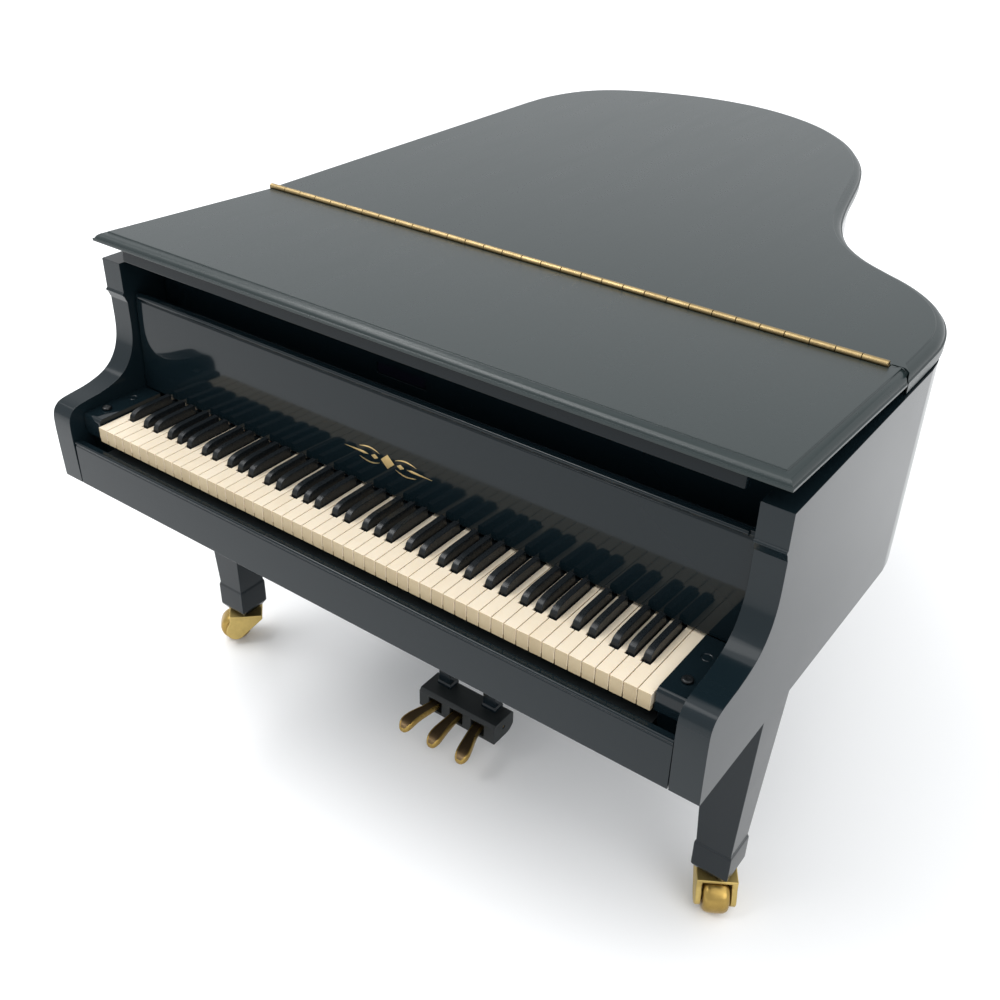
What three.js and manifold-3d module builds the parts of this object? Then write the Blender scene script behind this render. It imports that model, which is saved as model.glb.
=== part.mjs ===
// Miniature grand piano, one-sixth scale, in millimetres, +Z up.
// The model is laid out in a case frame: X = 0 on the keyboard centre (treble is +X),
// Y = 0 at the front edge of the white keys (the tail is +Y), Z = 0 on the white key tops.
// The outer group moves that frame so that the origin is on the floor under the middle of the object.
import * as THREE from 'three';
import { mergeVertices } from 'three/addons/utils/BufferGeometryUtils.js';
import Module from 'manifold-3d';

const wasm = await Module();
wasm.setup();

// ---------------------------------------------------------------- driving dimensions
const KEY_PITCH = 4.0;        // one white key
const KEY_GAP = 0.26;         // between neighbouring white keys
const KEY_BACK = 38.0;        // rear end of the white key levers
const SHARP_W = 2.3;
const SHARP_FRONT = 9.8;
const SHARP_TOP = 3.1;
const FLOOR = -124.6;         // floor below the white key tops
const Y_MID = 162.35;         // middle of the object, front to back

const CASE_HALF = 121.8;      // half width over the arms
const ARM_T = 8.6;            // arm thickness
const RIM_T = 7.0;            // rim wall behind the arms
const CASE_BOTTOM = -22.8;
const RIM_TOP = 46.5;

const LID_HALF = 121.2;
const LID_TOP = 52.55;
const LID_BOTTOM = 46.9;
const FLAP_T = 3.2;
const FLAP_FRONT = 21.8;
const HINGE_Y = 98.0;         // piano hinge between main lid and front flap
const HINGE_Z = 53.0;
const KNUCKLE_R = 1.1;
const KNUCKLE_PITCH = 7.516;
const KNUCKLES = 31;
const HINGE_X0 = -118.4;
const FLAP_TILT = THREE.MathUtils.degToRad(2.85);   // the flap stands slightly proud at its front
const SPINE_X = -121.0;       // butt hinge axis along the bass side
const SPINE_Z = 46.7;

const FALL_Y = 28.4;          // fallboard pivot
const FALL_Z = 4.6;

const LEG_X = 108.6, LEG_Y = 54.2;
const REAR_LEG = [-42, 272];
const LEG_TOP = -23.1, LEG_END = -110.3;

const WHEEL_R = 6.2, WHEEL_W = 8.6, TRAIL = 4.3;

const LYRE_HALF = 17.5;
const PEDAL_AXIS = [63.0, -110.4];

// ---------------------------------------------------------------- helpers
const V = (x, y, z) => new THREE.Vector3(x, y, z);

function solid(geometry) {
  let g = geometry.clone();
  g.deleteAttribute('normal');
  g.deleteAttribute('uv');
  g = mergeVertices(g, 1e-4);
  let index = Uint32Array.from(g.index.array);
  const make = () => new wasm.Manifold(new wasm.Mesh({
    numProp: 3, vertProperties: Float32Array.from(g.attributes.position.array), triVerts: index }));
  let m = make();
  if (m.volume() < 0) {
    for (let i = 0; i < index.length; i += 3) { const t = index[i]; index[i] = index[i + 1]; index[i + 1] = t; }
    m = make();
  }
  return m;
}

function toGeometry(m) {
  const mesh = m.getMesh();
  const g = new THREE.BufferGeometry();
  const n = mesh.vertProperties.length / mesh.numProp;
  const p = new Float32Array(n * 3);
  for (let i = 0; i < n; i++) for (let k = 0; k < 3; k++) p[3 * i + k] = mesh.vertProperties[i * mesh.numProp + k];
  g.setAttribute('position', new THREE.BufferAttribute(p, 3));
  g.setIndex(new THREE.BufferAttribute(Uint32Array.from(mesh.triVerts), 1));
  g.computeVertexNormals();
  return g;
}

const union = (...ms) => ms.flat().reduce((a, b) => a.add(b));
const cut = (a, ...bs) => bs.flat().reduce((x, b) => x.subtract(b), a);

function box(x0, x1, y0, y1, z0, z1) {
  const g = new THREE.BoxGeometry(x1 - x0, y1 - y0, z1 - z0);
  g.translate((x0 + x1) / 2, (y0 + y1) / 2, (z0 + z1) / 2);
  return solid(g);
}

function shapeOf(points) {
  return new THREE.Shape(points.map(([a, b]) => new THREE.Vector2(a, b)));
}

// outline in XY, extruded in Z
function prismZ(points, z0, z1) {
  const g = new THREE.ExtrudeGeometry(shapeOf(points), { depth: z1 - z0, bevelEnabled: false, steps: 1 });
  g.translate(0, 0, z0);
  return solid(g);
}

// outline in YZ, extruded in X
function prismX(points, x0, x1) {
  const g = new THREE.ExtrudeGeometry(shapeOf(points), { depth: x1 - x0, bevelEnabled: false, steps: 1 });
  g.applyMatrix4(new THREE.Matrix4().makeBasis(V(0, 1, 0), V(0, 0, 1), V(1, 0, 0)));
  g.translate(x0, 0, 0);
  return solid(g);
}

// cylinder along X, Y or Z between two stations
function rod(axis, r, a, b, u, v, seg = 16, r2 = r) {
  const g = new THREE.CylinderGeometry(r2, r, b - a, seg);
  g.translate(0, (a + b) / 2, 0);
  if (axis === 'x') { g.rotateZ(-Math.PI / 2); g.translate(0, u, v); }
  if (axis === 'y') { g.translate(u, 0, v); }
  if (axis === 'z') { g.rotateX(Math.PI / 2); g.translate(u, v, 0); }
  return solid(g);
}

// ring along X with a bore
function ringX(x0, x1, y, z, rOut, rIn, seg = 12) {
  return cut(rod('x', rOut, x0, x1, y, z, seg), rod('x', rIn, x0 - 1, x1 + 1, y, z, 8));
}

// stack of rectangular sections, lowest first
function squareLoft(sections) {
  const pos = [], idx = [];
  for (const s of sections) {
    const [z, hx, hy, cx = 0, cy = 0] = s;
    pos.push(cx - hx, cy - hy, z, cx + hx, cy - hy, z, cx + hx, cy + hy, z, cx - hx, cy + hy, z);
  }
  const n = sections.length;
  idx.push(0, 2, 1, 0, 3, 2);
  for (let i = 0; i < n - 1; i++) for (let k = 0; k < 4; k++) {
    const a = 4 * i + k, b = 4 * i + (k + 1) % 4, c = b + 4, d = a + 4;
    idx.push(a, b, c, a, c, d);
  }
  const t = 4 * (n - 1);
  idx.push(t, t + 1, t + 2, t, t + 2, t + 3);
  const g = new THREE.BufferGeometry();
  g.setAttribute('position', new THREE.Float32BufferAttribute(pos, 3));
  g.setIndex(idx);
  return solid(g);
}

function move(m, x, y, z) { return m.translate([x, y, z]); }

// turn a solid about a line parallel to X
function turnX(m, angleRad, y, z) {
  return m.translate([0, -y, -z]).rotate([THREE.MathUtils.radToDeg(angleRad), 0, 0]).translate([0, y, z]);
}

// ---------------------------------------------------------------- materials
const mat = (hex, roughness, metalness = 0) =>
  new THREE.MeshStandardMaterial({ color: hex, roughness, metalness });
const LACQUER = mat(0x101315, 0.12);
const SATIN = mat(0x1b1e20, 0.3);
const MATTE = mat(0x26292a, 0.6);
const IVORY = mat(0xf0e4cf, 0.35);
const EBONY = mat(0x15171a, 0.25);
const BRASS = mat(0xc9a14e, 0.28, 1.0);
const GOLD = mat(0xb08d3c, 0.45, 0.6);
const SPRUCE = mat(0xc79a5b, 0.5);
const RUBBER = mat(0x17181a, 0.7);
const SMOKED = mat(0x1a1c26, 0.08);

const root = new THREE.Group();
root.position.set(0, -Y_MID, -FLOOR);
function add(name, m, material, parent = root) {
  const mesh = new THREE.Mesh(toGeometry(m), material);
  mesh.name = name;
  parent.add(mesh);
  return mesh;
}

// ---------------------------------------------------------------- plan outline
// curved part of the lid outline, from the bass side round the tail to the treble side
const CURVE = [
  [-121.2, 262], [-120.4, 275], [-117.6, 287.5], [-112.8, 298.3], [-106.2, 306.9], [-98, 313.6],
  [-87, 319.6], [-75, 324.2], [-62, 327.5], [-48, 329.1], [-36, 328.9], [-24, 326.9], [-11, 322.6],
  [2, 315.9], [13.5, 307.1], [23.6, 296.8], [32.2, 284.5], [39.2, 271.2], [44.3, 257.5], [48.2, 243.4],
  [51.6, 229.2], [55.2, 215.2], [59.4, 202], [64.8, 190.2], [71.8, 180], [80.4, 171.8], [90, 165.8],
  [98, 161.2], [105, 155.8], [111.2, 149.2], [116, 141.4], [119.3, 132.6], [120.9, 124], [121.2, 116]];

// offset of an open run of points, positive to the right of travel (inwards here)
function offsetRun(points, dist) {
  return points.map((p, i) => {
    const a = points[Math.max(0, i - 1)], b = points[Math.min(points.length - 1, i + 1)];
    const dx = b[0] - a[0], dy = b[1] - a[1], l = Math.hypot(dx, dy);
    const d = typeof dist === 'function' ? dist(i / (points.length - 1)) : dist;
    return [p[0] + d * dy / l, p[1] - d * dx / l];
  });
}
const smooth = (t) => { const u = Math.min(1, Math.max(0, t)); return u * u * (3 - 2 * u); };
// the rim stands 0.6 mm proud of the lid on the straight sides and 2.4 mm inside it round the curve
const overhang = (t) => -0.6 + 3.0 * smooth(t / 0.16) * smooth((1 - t) / 0.1);
const RIM_OUT = offsetRun(CURVE, overhang);
const RIM_IN = offsetRun(CURVE, (t) => overhang(t) + RIM_T);

const innerHalf = CASE_HALF - RIM_T;
const armInner = CASE_HALF - ARM_T;

// ---------------------------------------------------------------- case
// arm profile seen from the side (y, z): everything above and in front of it is cut away
const ARM = [
  [-4.0, CASE_BOTTOM], [-4.3, -12], [-4.4, -2], [-4.1, 0.9], [-3.2, 2.9], [-1.6, 4.3], [0.8, 5.0], [4, 5.4],
  [8.5, 5.9], [13.2, 6.9], [17.2, 8.4], [20.6, 10.9], [23.1, 14.4], [24.6, 18.6], [25.2, 23.2], [25.3, 32.5],
  [25.1, 33.2], [24.5, 34.7], [24.35, 35.1], [24.0, 35.3], [23.85, 35.7], [24.0, 36.1], [24.4, 36.3], [24.4, RIM_TOP]];
const outerRun = [[-CASE_HALF, -6], ...RIM_OUT, [CASE_HALF, -6]];
const innerRun = [[-armInner, -6], [-armInner, 44], [-innerHalf, 44], ...RIM_IN, [innerHalf, 44], [armInner, 44], [armInner, -6]];
const rimOutline = [...outerRun, ...innerRun.slice().reverse()];
const aboveArm = prismX([[-20, CASE_BOTTOM - 5], [-4.0, CASE_BOTTOM - 5], ...ARM, [24.4, 60], [-20, 60]], -140, 140);
let rim = cut(prismZ(rimOutline, CASE_BOTTOM, RIM_TOP), aboveArm);
// sockets for the fallboard pins
rim = cut(rim, rod('x', 1.3, -armInner - 3, -armInner + 2, FALL_Y, FALL_Z, 16), rod('x', 1.3, armInner - 2, armInner + 3, FALL_Y, FALL_Z, 16));
// seats for the two butt hinges on the bass side
const BUTTS = [[118, 'front'], [240, 'rear']];
const BUTT_L = 16;
for (const [y] of BUTTS) {
  rim = cut(rim, box(-124, -116.2, y - 0.3, y + BUTT_L + 0.3, RIM_TOP - 1.2, RIM_TOP + 1));
}
add('rim', rim, LACQUER);

const insideRun = (gap) => [[-armInner + gap, 0], [-armInner + gap, 44 + gap], [-innerHalf + gap, 44 + gap],
  ...offsetRun(CURVE, (t) => overhang(t) + RIM_T + gap), [innerHalf - gap, 44 + gap], [armInner - gap, 44 + gap], [armInner - gap, 0]];
const fromY = (run, y0) => {
  const r = run.filter((p) => p[1] > y0 + 0.01);
  return [[r[0][0], y0], ...r, [r[r.length - 1][0], y0]];
};
const BATT = [-35, 35, 130, 176];   // battery hatch in the bottom board
let bottom = prismZ(fromY(insideRun(0.3), 0.3), CASE_BOTTOM + 0.1, -19.4);
bottom = cut(bottom, box(BATT[0], BATT[1], BATT[2], BATT[3], -30, -10));
// sound slots under the speaker
for (let k = -2; k <= 2; k++) {
  const w = 20 - 2.2 * k * k;
  bottom = cut(bottom, box(-45 - w, -45 + w, 225 + 7 * k - 1.1, 225 + 7 * k + 1.1, -30, -10));
}
add('bottom_board', bottom, SATIN);
let hatch = union(box(BATT[0] + 0.3, BATT[1] - 0.3, BATT[2] + 0.3, BATT[3] - 0.3, CASE_BOTTOM + 0.1, -20.6),
  box(-8, 8, BATT[3] - 1.2, BATT[3] + 3, -19.1, -18), box(-8, 8, BATT[3] - 1.6, BATT[3] - 0.4, -21, -18));
add('battery_cover', hatch, SATIN);

// key slip with a small bead along the front of its top edge and a flat ledge behind it
const slip = prismX([[-4.0, CASE_BOTTOM], [-4.0, -8.3], [-3.75, -8.1], [-4.02, -7.75], [-4.02, -7.2], [-3.75, -6.85], [-3.2, -6.8], [-2.95, -7.1], [-1.4, -7.1], [-1.4, -9.4], [-0.4, -9.6],
  [-0.4, -18.9], [-0.1, -18.9], [-0.1, CASE_BOTTOM]], -armInner + 0.3, armInner - 0.3);
add('key_slip', slip, LACQUER);
add('key_frame', prismX([[0.2, -19.1], [0.2, -10.4], [6, -10.4], [6, -12.4], [27, -12.4], [27, -10.2], [33, -10.2], [33, -8.2], [39.6, -8.2], [39.6, -19.1]], -104.0, 104.0), MATTE);

// cheek blocks beside the keyboard
for (const [name, s] of [['cheek_block_left', -1], ['cheek_block_right', 1]]) {
  const a = s * 104.45, b = s * (armInner - 0.3);
  let block = prismX([[1.0, -5.2], [1.0, 0.9], [1.3, 1.5], [1.9, 1.8], [26.2, 1.8], [26.2, -19.0], [3.4, -19.0], [3.4, -5.2]], Math.min(a, b), Math.max(a, b));
  block = cut(block, rod('z', 1.25, 0.6, 3, s * 109.1, 7.8, 12));
  add(name, block, LACQUER);
}
// rubber buttons that the closed fallboard lands on
for (const [name, s] of [['fallboard_bumper_left', -1], ['fallboard_bumper_right', 1]]) {
  add(name, union(rod('z', 1.1, 0.9, 2.4, s * 109.1, 7.8, 12), rod('z', 1.6, 2.05, 2.75, s * 109.1, 7.8, 12, 1.35)), RUBBER);
}

// ---------------------------------------------------------------- keyboard
const OCT_SHARPS = [3.7, 8.6, 15.4, 20.1, 24.7];
function whiteKey(x0, left, right) {
  // left and right: x of the sharp centre that bites into that side, or null
  const g = KEY_GAP / 2, bite = SHARP_W / 2 + 0.3, y1 = SHARP_FRONT - 0.6;
  const xa = x0 + g, xb = x0 + KEY_PITCH - g;
  const pts = [[xa, 0], [xb, 0]];
  if (right !== null) pts.push([xb, y1], [right - bite, y1], [right - bite, KEY_BACK]); else pts.push([xb, KEY_BACK]);
  if (left !== null) pts.push([left + bite, KEY_BACK], [left + bite, y1], [xa, y1]); else pts.push([xa, KEY_BACK]);
  return union(prismZ(pts, -4.0, 0), box(xa, xb, 0, 1.6, -5.3, -3.9));
}
function whiteComb(keys, xa, xb) {
  return union(keys, box(xa + KEY_GAP / 2, xb - KEY_GAP / 2, 34.2, KEY_BACK, -6.6, -3.9));
}
function sharpComb(centres) {
  const h = SHARP_W / 2;
  const profile = [[SHARP_FRONT, -3.2], [SHARP_FRONT, 0.3], [10.15, 1.45], [10.75, 2.15], [11.8, 2.65], [13.3, 2.95], [14.9, SHARP_TOP], [25.7, SHARP_TOP], [25.9, 2.9], [25.9, -0.2], [32, -0.2], [32, -5.4], [28, -5.4], [28, -3.2]];
  const bars = centres.map((c) => prismX(profile, c - h, c + h));
  return union(bars, box(centres[0] - h, centres[centres.length - 1] + h, 28, 32, -8.6, -5.3));
}
const X0 = -104;
{
  const a = X0 + 4.7;
  add('naturals_0', whiteComb([whiteKey(X0, null, a), whiteKey(X0 + 4, a, null)], X0, X0 + 8), IVORY);
  add('sharps_0', sharpComb([a]), EBONY);
}
for (let o = 0; o < 7; o++) {
  const x = X0 + 8 + 28 * o;
  const s = OCT_SHARPS.map((d) => x + d);
  const bites = [[null, s[0]], [s[0], s[1]], [s[1], null], [null, s[2]], [s[2], s[3]], [s[3], s[4]], [s[4], null]];
  const keys = bites.map(([l, r], i) => whiteKey(x + 4 * i, l, r));
  let xb = x + 28;
  if (o === 6) { keys.push(whiteKey(x + 28, null, null)); xb += 4; }
  add(`naturals_${o + 1}`, whiteComb(keys, x, xb), IVORY);
  add(`sharps_${o + 1}`, sharpComb(s), EBONY);
}

// ---------------------------------------------------------------- fallboard and panel behind it
const fallProfile = [[27.4, 0.9], [26.9, 1.5], [28.1, 32.9], [28.45, 33.2], [28.45, 33.6], [28.1, 34.0], [28.5, 35.1], [30.2, 35.3], [31.0, 34.4], [31.0, 30.4], [30.3, 6.5], [30.6, 3.4], [30.3, 1.4], [29.6, 0.9]];
const fallBead = [];
for (let i = 0; i < 8; i++) { const a = Math.PI / 4 * i; fallBead.push([28.1 + 0.75 * Math.cos(a), 34.6 + 0.75 * Math.sin(a)]); }
add('fallboard', union(prismX(fallProfile, -112.6, 112.6), prismX(fallBead, -110.6, 110.6), rod('x', 1.2, -115.8, -112.2, FALL_Y, FALL_Z, 16), rod('x', 1.2, 112.2, 115.8, FALL_Y, FALL_Z, 16)), LACQUER);
const WIN = [-17.3, 1.3, 31.6, 35.2];
let panel = box(-armInner + 0.4, armInner - 0.4, 40.4, 43.4, -18.9, 45.9);
panel = cut(panel, box(WIN[0], WIN[1], 39, 41.6, WIN[2], WIN[3]));
add('front_panel', panel, LACQUER);
add('sensor_window', box(WIN[0] + 0.3, WIN[1] - 0.3, 40.6, 41.3, WIN[2] + 0.3, WIN[3] - 0.3), SMOKED);
add('music_desk', union(box(-62, 62, 48, 86, 42.6, 44.4), box(-62, 62, 48, 50, 44.2, 45.8), box(-50, -44, 80, 86, 29.2, 42.8), box(44, 50, 80, 86, 29.2, 42.8)), LACQUER);

// ---------------------------------------------------------------- lid
const lidPts = [[-LID_HALF, HINGE_Y + 0.6], ...CURVE, [LID_HALF, 96.1], [119.4, 98.9], [118.2, 99.7], [114.9, 99.7], [114.9, HINGE_Y + 0.6]];
let lid = prismZ(lidPts, LID_BOTTOM, LID_TOP);
const hingeEnd = HINGE_X0 + KNUCKLES * KNUCKLE_PITCH;
const barrelGroove = rod('x', 1.45, HINGE_X0 - 6, hingeEnd + 0.25, HINGE_Y, HINGE_Z, 16);
lid = cut(lid, barrelGroove);
for (const [y] of BUTTS) {
  lid = cut(lid, box(-124, -116.2, y - 0.3, y + BUTT_L + 0.3, LID_BOTTOM - 1, LID_BOTTOM + 1.2));
}
add('lid_main', lid, SATIN);

const flapPts = [[-LID_HALF, FLAP_FRONT], [-LID_HALF, HINGE_Y - 0.6], [114.9, HINGE_Y - 0.6], [114.9, 99.1], [117.9, 99.1], [119.0, 98.3], [LID_HALF, 95.5], [LID_HALF, FLAP_FRONT]];
let flap = prismZ(flapPts, LID_TOP - FLAP_T, LID_TOP);
flap = cut(flap, barrelGroove);
add('lid_flap', turnX(flap, -FLAP_TILT, HINGE_Y, HINGE_Z), SATIN);
add('lid_front_rail', turnX(box(-109.4, 109.4, 23.7, 26.5, 44.8, LID_TOP - FLAP_T - 0.3), -FLAP_TILT, HINGE_Y, HINGE_Z), LACQUER);

// piano hinge: two leaves with alternate knuckles on one pin
function hingeLeaf(parity, y0, y1) {
  let m = box(HINGE_X0 + 0.2, hingeEnd - 0.2, y0, y1, 50.0, 51.6);
  for (let i = parity; i < KNUCKLES; i += 2) {
    const a = HINGE_X0 + i * KNUCKLE_PITCH + 0.1, b = a + KNUCKLE_PITCH - 0.2;
    m = union(m, ringX(a, b, HINGE_Y, HINGE_Z, KNUCKLE_R, 0.5, 12), box(a + 0.2, b - 0.2, y0, y1, 51.5, 52.3));
  }
  return m;
}
add('hinge_main_leaf', hingeLeaf(0, HINGE_Y + 0.08, HINGE_Y + 0.36), BRASS);
add('hinge_flap_leaf', turnX(hingeLeaf(1, HINGE_Y - 0.36, HINGE_Y - 0.08), -FLAP_TILT, HINGE_Y, HINGE_Z), BRASS);
add('hinge_pin', rod('x', 0.4, HINGE_X0 + 0.2, hingeEnd - 0.2, HINGE_Y, HINGE_Z, 8), BRASS);

// butt hinges along the bass side
for (const [y, tag] of BUTTS) {
  const c = (a, b, r, seg = 12) => rod('y', r, a, b, SPINE_X, SPINE_Z, seg);
  const rimLeaf = union(box(-120.8, -116.6, y, y + BUTT_L, RIM_TOP - 0.9, RIM_TOP - 0.2),
    box(-121.3, -120.4, y, y + 4.8, RIM_TOP - 0.9, RIM_TOP - 0.2), box(-121.3, -120.4, y + 11.2, y + BUTT_L, RIM_TOP - 0.9, RIM_TOP - 0.2),
    c(y, y + 4.8, 0.8), c(y + 11.2, y + BUTT_L, 0.8), c(y, y + BUTT_L, 0.36, 8));
  add(`butt_hinge_${tag}_rim_leaf`, cut(rimLeaf, box(-122, -120.1, y + 4.8, y + 11.2, RIM_TOP - 1, RIM_TOP - 0.18)), BRASS);
  const lidLeaf = union(box(-119.9, -116.6, y, y + BUTT_L, LID_BOTTOM + 0.2, LID_BOTTOM + 0.9),
    box(-121.0, -119.8, y + 5.1, y + 10.9, LID_BOTTOM + 0.2, LID_BOTTOM + 0.55), c(y + 5.1, y + 10.9, 0.8));
  add(`butt_hinge_${tag}_lid_leaf`, cut(lidLeaf, c(y, y + BUTT_L, 0.44, 8)), BRASS);
}

// lid prop, folded down on the plate
{
  const a = [93, 112], b = [36, 204], dx = b[0] - a[0], dy = b[1] - a[1], l = Math.hypot(dx, dy);
  const nx = -dy / l * 1.6, ny = dx / l * 1.6;
  const stick = prismZ([[a[0] + nx, a[1] + ny], [a[0] - nx, a[1] - ny], [b[0] - nx * 0.7, b[1] - ny * 0.7], [b[0] + nx * 0.7, b[1] + ny * 0.7]], 30.4, 33.6);
  add('lid_prop', union(stick, rod('z', 2.6, 28.8, 34.0, a[0], a[1], 12), rod('z', 2.0, 28.8, 30.6, b[0] + 2, b[1] - 3.6, 10)), LACQUER);
}

// ---------------------------------------------------------------- inside the case
add('soundboard', prismZ(fromY(insideRun(0.5), 46), 20.0, 22.0), SPRUCE);
{
  let plate = prismZ(fromY(insideRun(0.9), 46.5), 25.4, 28.4);
  const bays = [
    [[-106, 124], [-82, 124], [-74, 210], [-76, 268], [-90, 290], [-102, 272], [-106, 250]],
    [[-76, 124], [-52, 124], [-42, 210], [-42, 290], [-50, 308], [-62, 304], [-70, 280], [-68, 210]],
    [[-46, 124], [-22, 124], [-10, 210], [-10, 280], [-22, 304], [-34, 308], [-36, 290], [-36, 210]],
    [[-16, 124], [8, 124], [20, 200], [22, 240], [12, 268], [-4, 284], [-4, 210]],
    [[14, 124], [38, 124], [42, 170], [36, 205], [27, 226], [26, 200]],
    [[44, 124], [68, 124], [68, 148], [58, 166], [48, 180]],
    [[74, 124], [98, 124], [98, 142], [86, 148], [74, 156]],
  ];
  for (const b of bays) plate = cut(plate, prismZ(b, 20, 32));
  add('iron_frame', plate, GOLD);
}
{
  const prof = [[0, -18.6], [13, -18.6], [14, -12], [26, -3.4], [30, -3.0], [30, -0.6], [27, -0.2], [22, -2.4], [10, -8], [8, -6.4], [0, -5.0]];
  const g = new THREE.LatheGeometry(prof.map(([r, z]) => new THREE.Vector2(r, z)), 20);
  g.rotateX(Math.PI / 2);
  add('speaker', solid(g).translate([-45, 225, 0]), MATTE);
}

// ---------------------------------------------------------------- legs and casters
const legSections = [[LEG_END, 4.65, 4.65], [LEG_END + 3.0, 6.45, 6.45], [-97.4, 6.45, 6.45], [-96.6, 6.05, 6.05], [LEG_TOP, 9.2, 9.2]];
const LEGS = [['front_left', -LEG_X, LEG_Y, -45], ['front_right', LEG_X, LEG_Y, 32], ['rear', REAR_LEG[0], REAR_LEG[1], 20]];
for (const [tag, x, y] of LEGS) {
  const m = cut(squareLoft(legSections), rod('z', 1.58, LEG_END - 1, LEG_END + 8, 0, 0, 16));
  add(`leg_${tag}`, move(m, x, y, 0), LACQUER);
}
function fork() {
  const az = FLOOR + WHEEL_R, zt = LEG_END - 0.3, zp = zt - 1.2, back = 7.0, front = -6.2;
  // cheek seen from the side: upright front and back edges, then slopes into a round end over the axle
  const side = [[back, zp + 0.2], [front, zp + 0.2], [front, zp - 1.4], [-6.8, zp - 3.2]];
  for (let i = 0; i <= 8; i++) { const a = Math.PI * (0.98 + 0.86 * i / 8); side.push([-TRAIL + 3.8 * Math.cos(a), az + 3.8 * Math.sin(a)]); }
  side.push([back, zp - 0.8]);
  const inner = WHEEL_W / 2 + 0.4, outer = inner + 1.9;
  const plate = [[-outer, back], [-outer, front], [outer, front], [outer, back]];
  return union(prismZ(plate, zp, zt), prismX(side, -outer, -inner), prismX(side, inner, outer),
    rod('x', 1.0, -outer + 0.3, outer - 0.3, -TRAIL, az, 16), rod('z', 1.5, zt - 0.4, LEG_END + 7.5, 0, 0, 16));
}
function wheel() {
  // slightly crowned tread with rounded shoulders
  const h = WHEEL_W / 2, r = WHEEL_R;
  const half = [[r - 1.9, h], [r - 1.2, h - 0.2], [r - 0.65, h - 0.65], [r - 0.25, h - 1.35], [r - 0.06, h - 2.4]];
  const prof = [[1.08, -h], ...half.map(([a, b]) => [a, -b]), [r, 0], ...half.slice().reverse(), [1.08, h], [1.08, -h]];
  const g = new THREE.LatheGeometry(prof.map(([a, b]) => new THREE.Vector2(a, b)), 28);
  g.rotateZ(-Math.PI / 2);
  g.rotateX(Math.PI / 28);
  return solid(g).translate([0, -TRAIL, FLOOR + WHEEL_R]);
}
for (const [tag, x, y, turn] of LEGS) {
  add(`caster_fork_${tag}`, fork().rotate([0, 0, turn]).translate([x, y, 0]), BRASS);
  add(`caster_wheel_${tag}`, wheel().rotate([0, 0, turn]).translate([x, y, 0]), BRASS);
}

// ---------------------------------------------------------------- pedal lyre
const PED_ROOT = 9.8, PED_TIP = 13.0;
let lyre = prismX([[57.2, -114.9], [56.9, -114.4], [56.9, -107.2], [57.6, -106.3], [68.4, -106.3], [69.0, -107], [69.0, -111.9], [68.3, -113.3], [66.6, -114.5], [64.4, -114.9]], -LYRE_HALF, LYRE_HALF);
for (const k of [-1, 0, 1]) lyre = cut(lyre, box(k * PED_ROOT - 2.9, k * PED_ROOT + 2.9, 50, 66.4, -113.4, -108.2));
lyre = cut(lyre, rod('x', 0.7, -30, 30, PEDAL_AXIS[0], PEDAL_AXIS[1], 12));
add('lyre_box', lyre, MATTE);
add('pedal_axle', rod('x', 0.6, -LYRE_HALF + 0.4, LYRE_HALF - 0.4, PEDAL_AXIS[0], PEDAL_AXIS[1], 12), BRASS);
for (const [tag, s] of [['left', -1], ['right', 1]]) {
  add(`lyre_post_${tag}`, squareLoft([[-106.0, 3.2, 2.6, s * 10.3, 65.4], [CASE_BOTTOM - 0.2, 3.2, 2.6, s * 10.3, 65.4]]), LACQUER);
}
function pedal(k) {
  // plan: a neck in the lyre box that widens to a rounded toe, leaning outwards for the outer two
  const xr = k * PED_ROOT, xt = k * PED_TIP;
  const plan = [[xr - 2.0, 65.4], [xr - 2.0, 56], [xt - 2.6 + (xr - xt) * 0.25, 49], [xt - 2.75, 45.2], [xt - 2.2, 42.9], [xt - 1.0, 41.7], [xt, 41.4],
    [xt + 1.0, 41.7], [xt + 2.2, 42.9], [xt + 2.75, 45.2], [xt + 2.6 + (xr - xt) * 0.25, 49], [xr + 2.0, 56], [xr + 2.0, 65.4]];
  const side = [[65.4, -111.6], [65.4, -109.2], [56, -109.3], [49, -109.5], [44.6, -110.4], [42.4, -111.6], [41.2, -113.4],
    [41.2, -114.4], [43.4, -113.6], [46, -112.6], [50, -111.9], [56, -111.6]];
  const m = prismZ(plan, -118, -104).intersect(prismX(side, -30, 30));
  return cut(m, rod('x', 0.68, -30, 30, PEDAL_AXIS[0], PEDAL_AXIS[1], 12));
}
for (const [tag, k] of [['left', -1], ['middle', 0], ['right', 1]]) add(`pedal_${tag}`, pedal(k), BRASS);

export default root;
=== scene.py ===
import math
import bpy
import bmesh
from mathutils import Vector, Matrix

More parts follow.
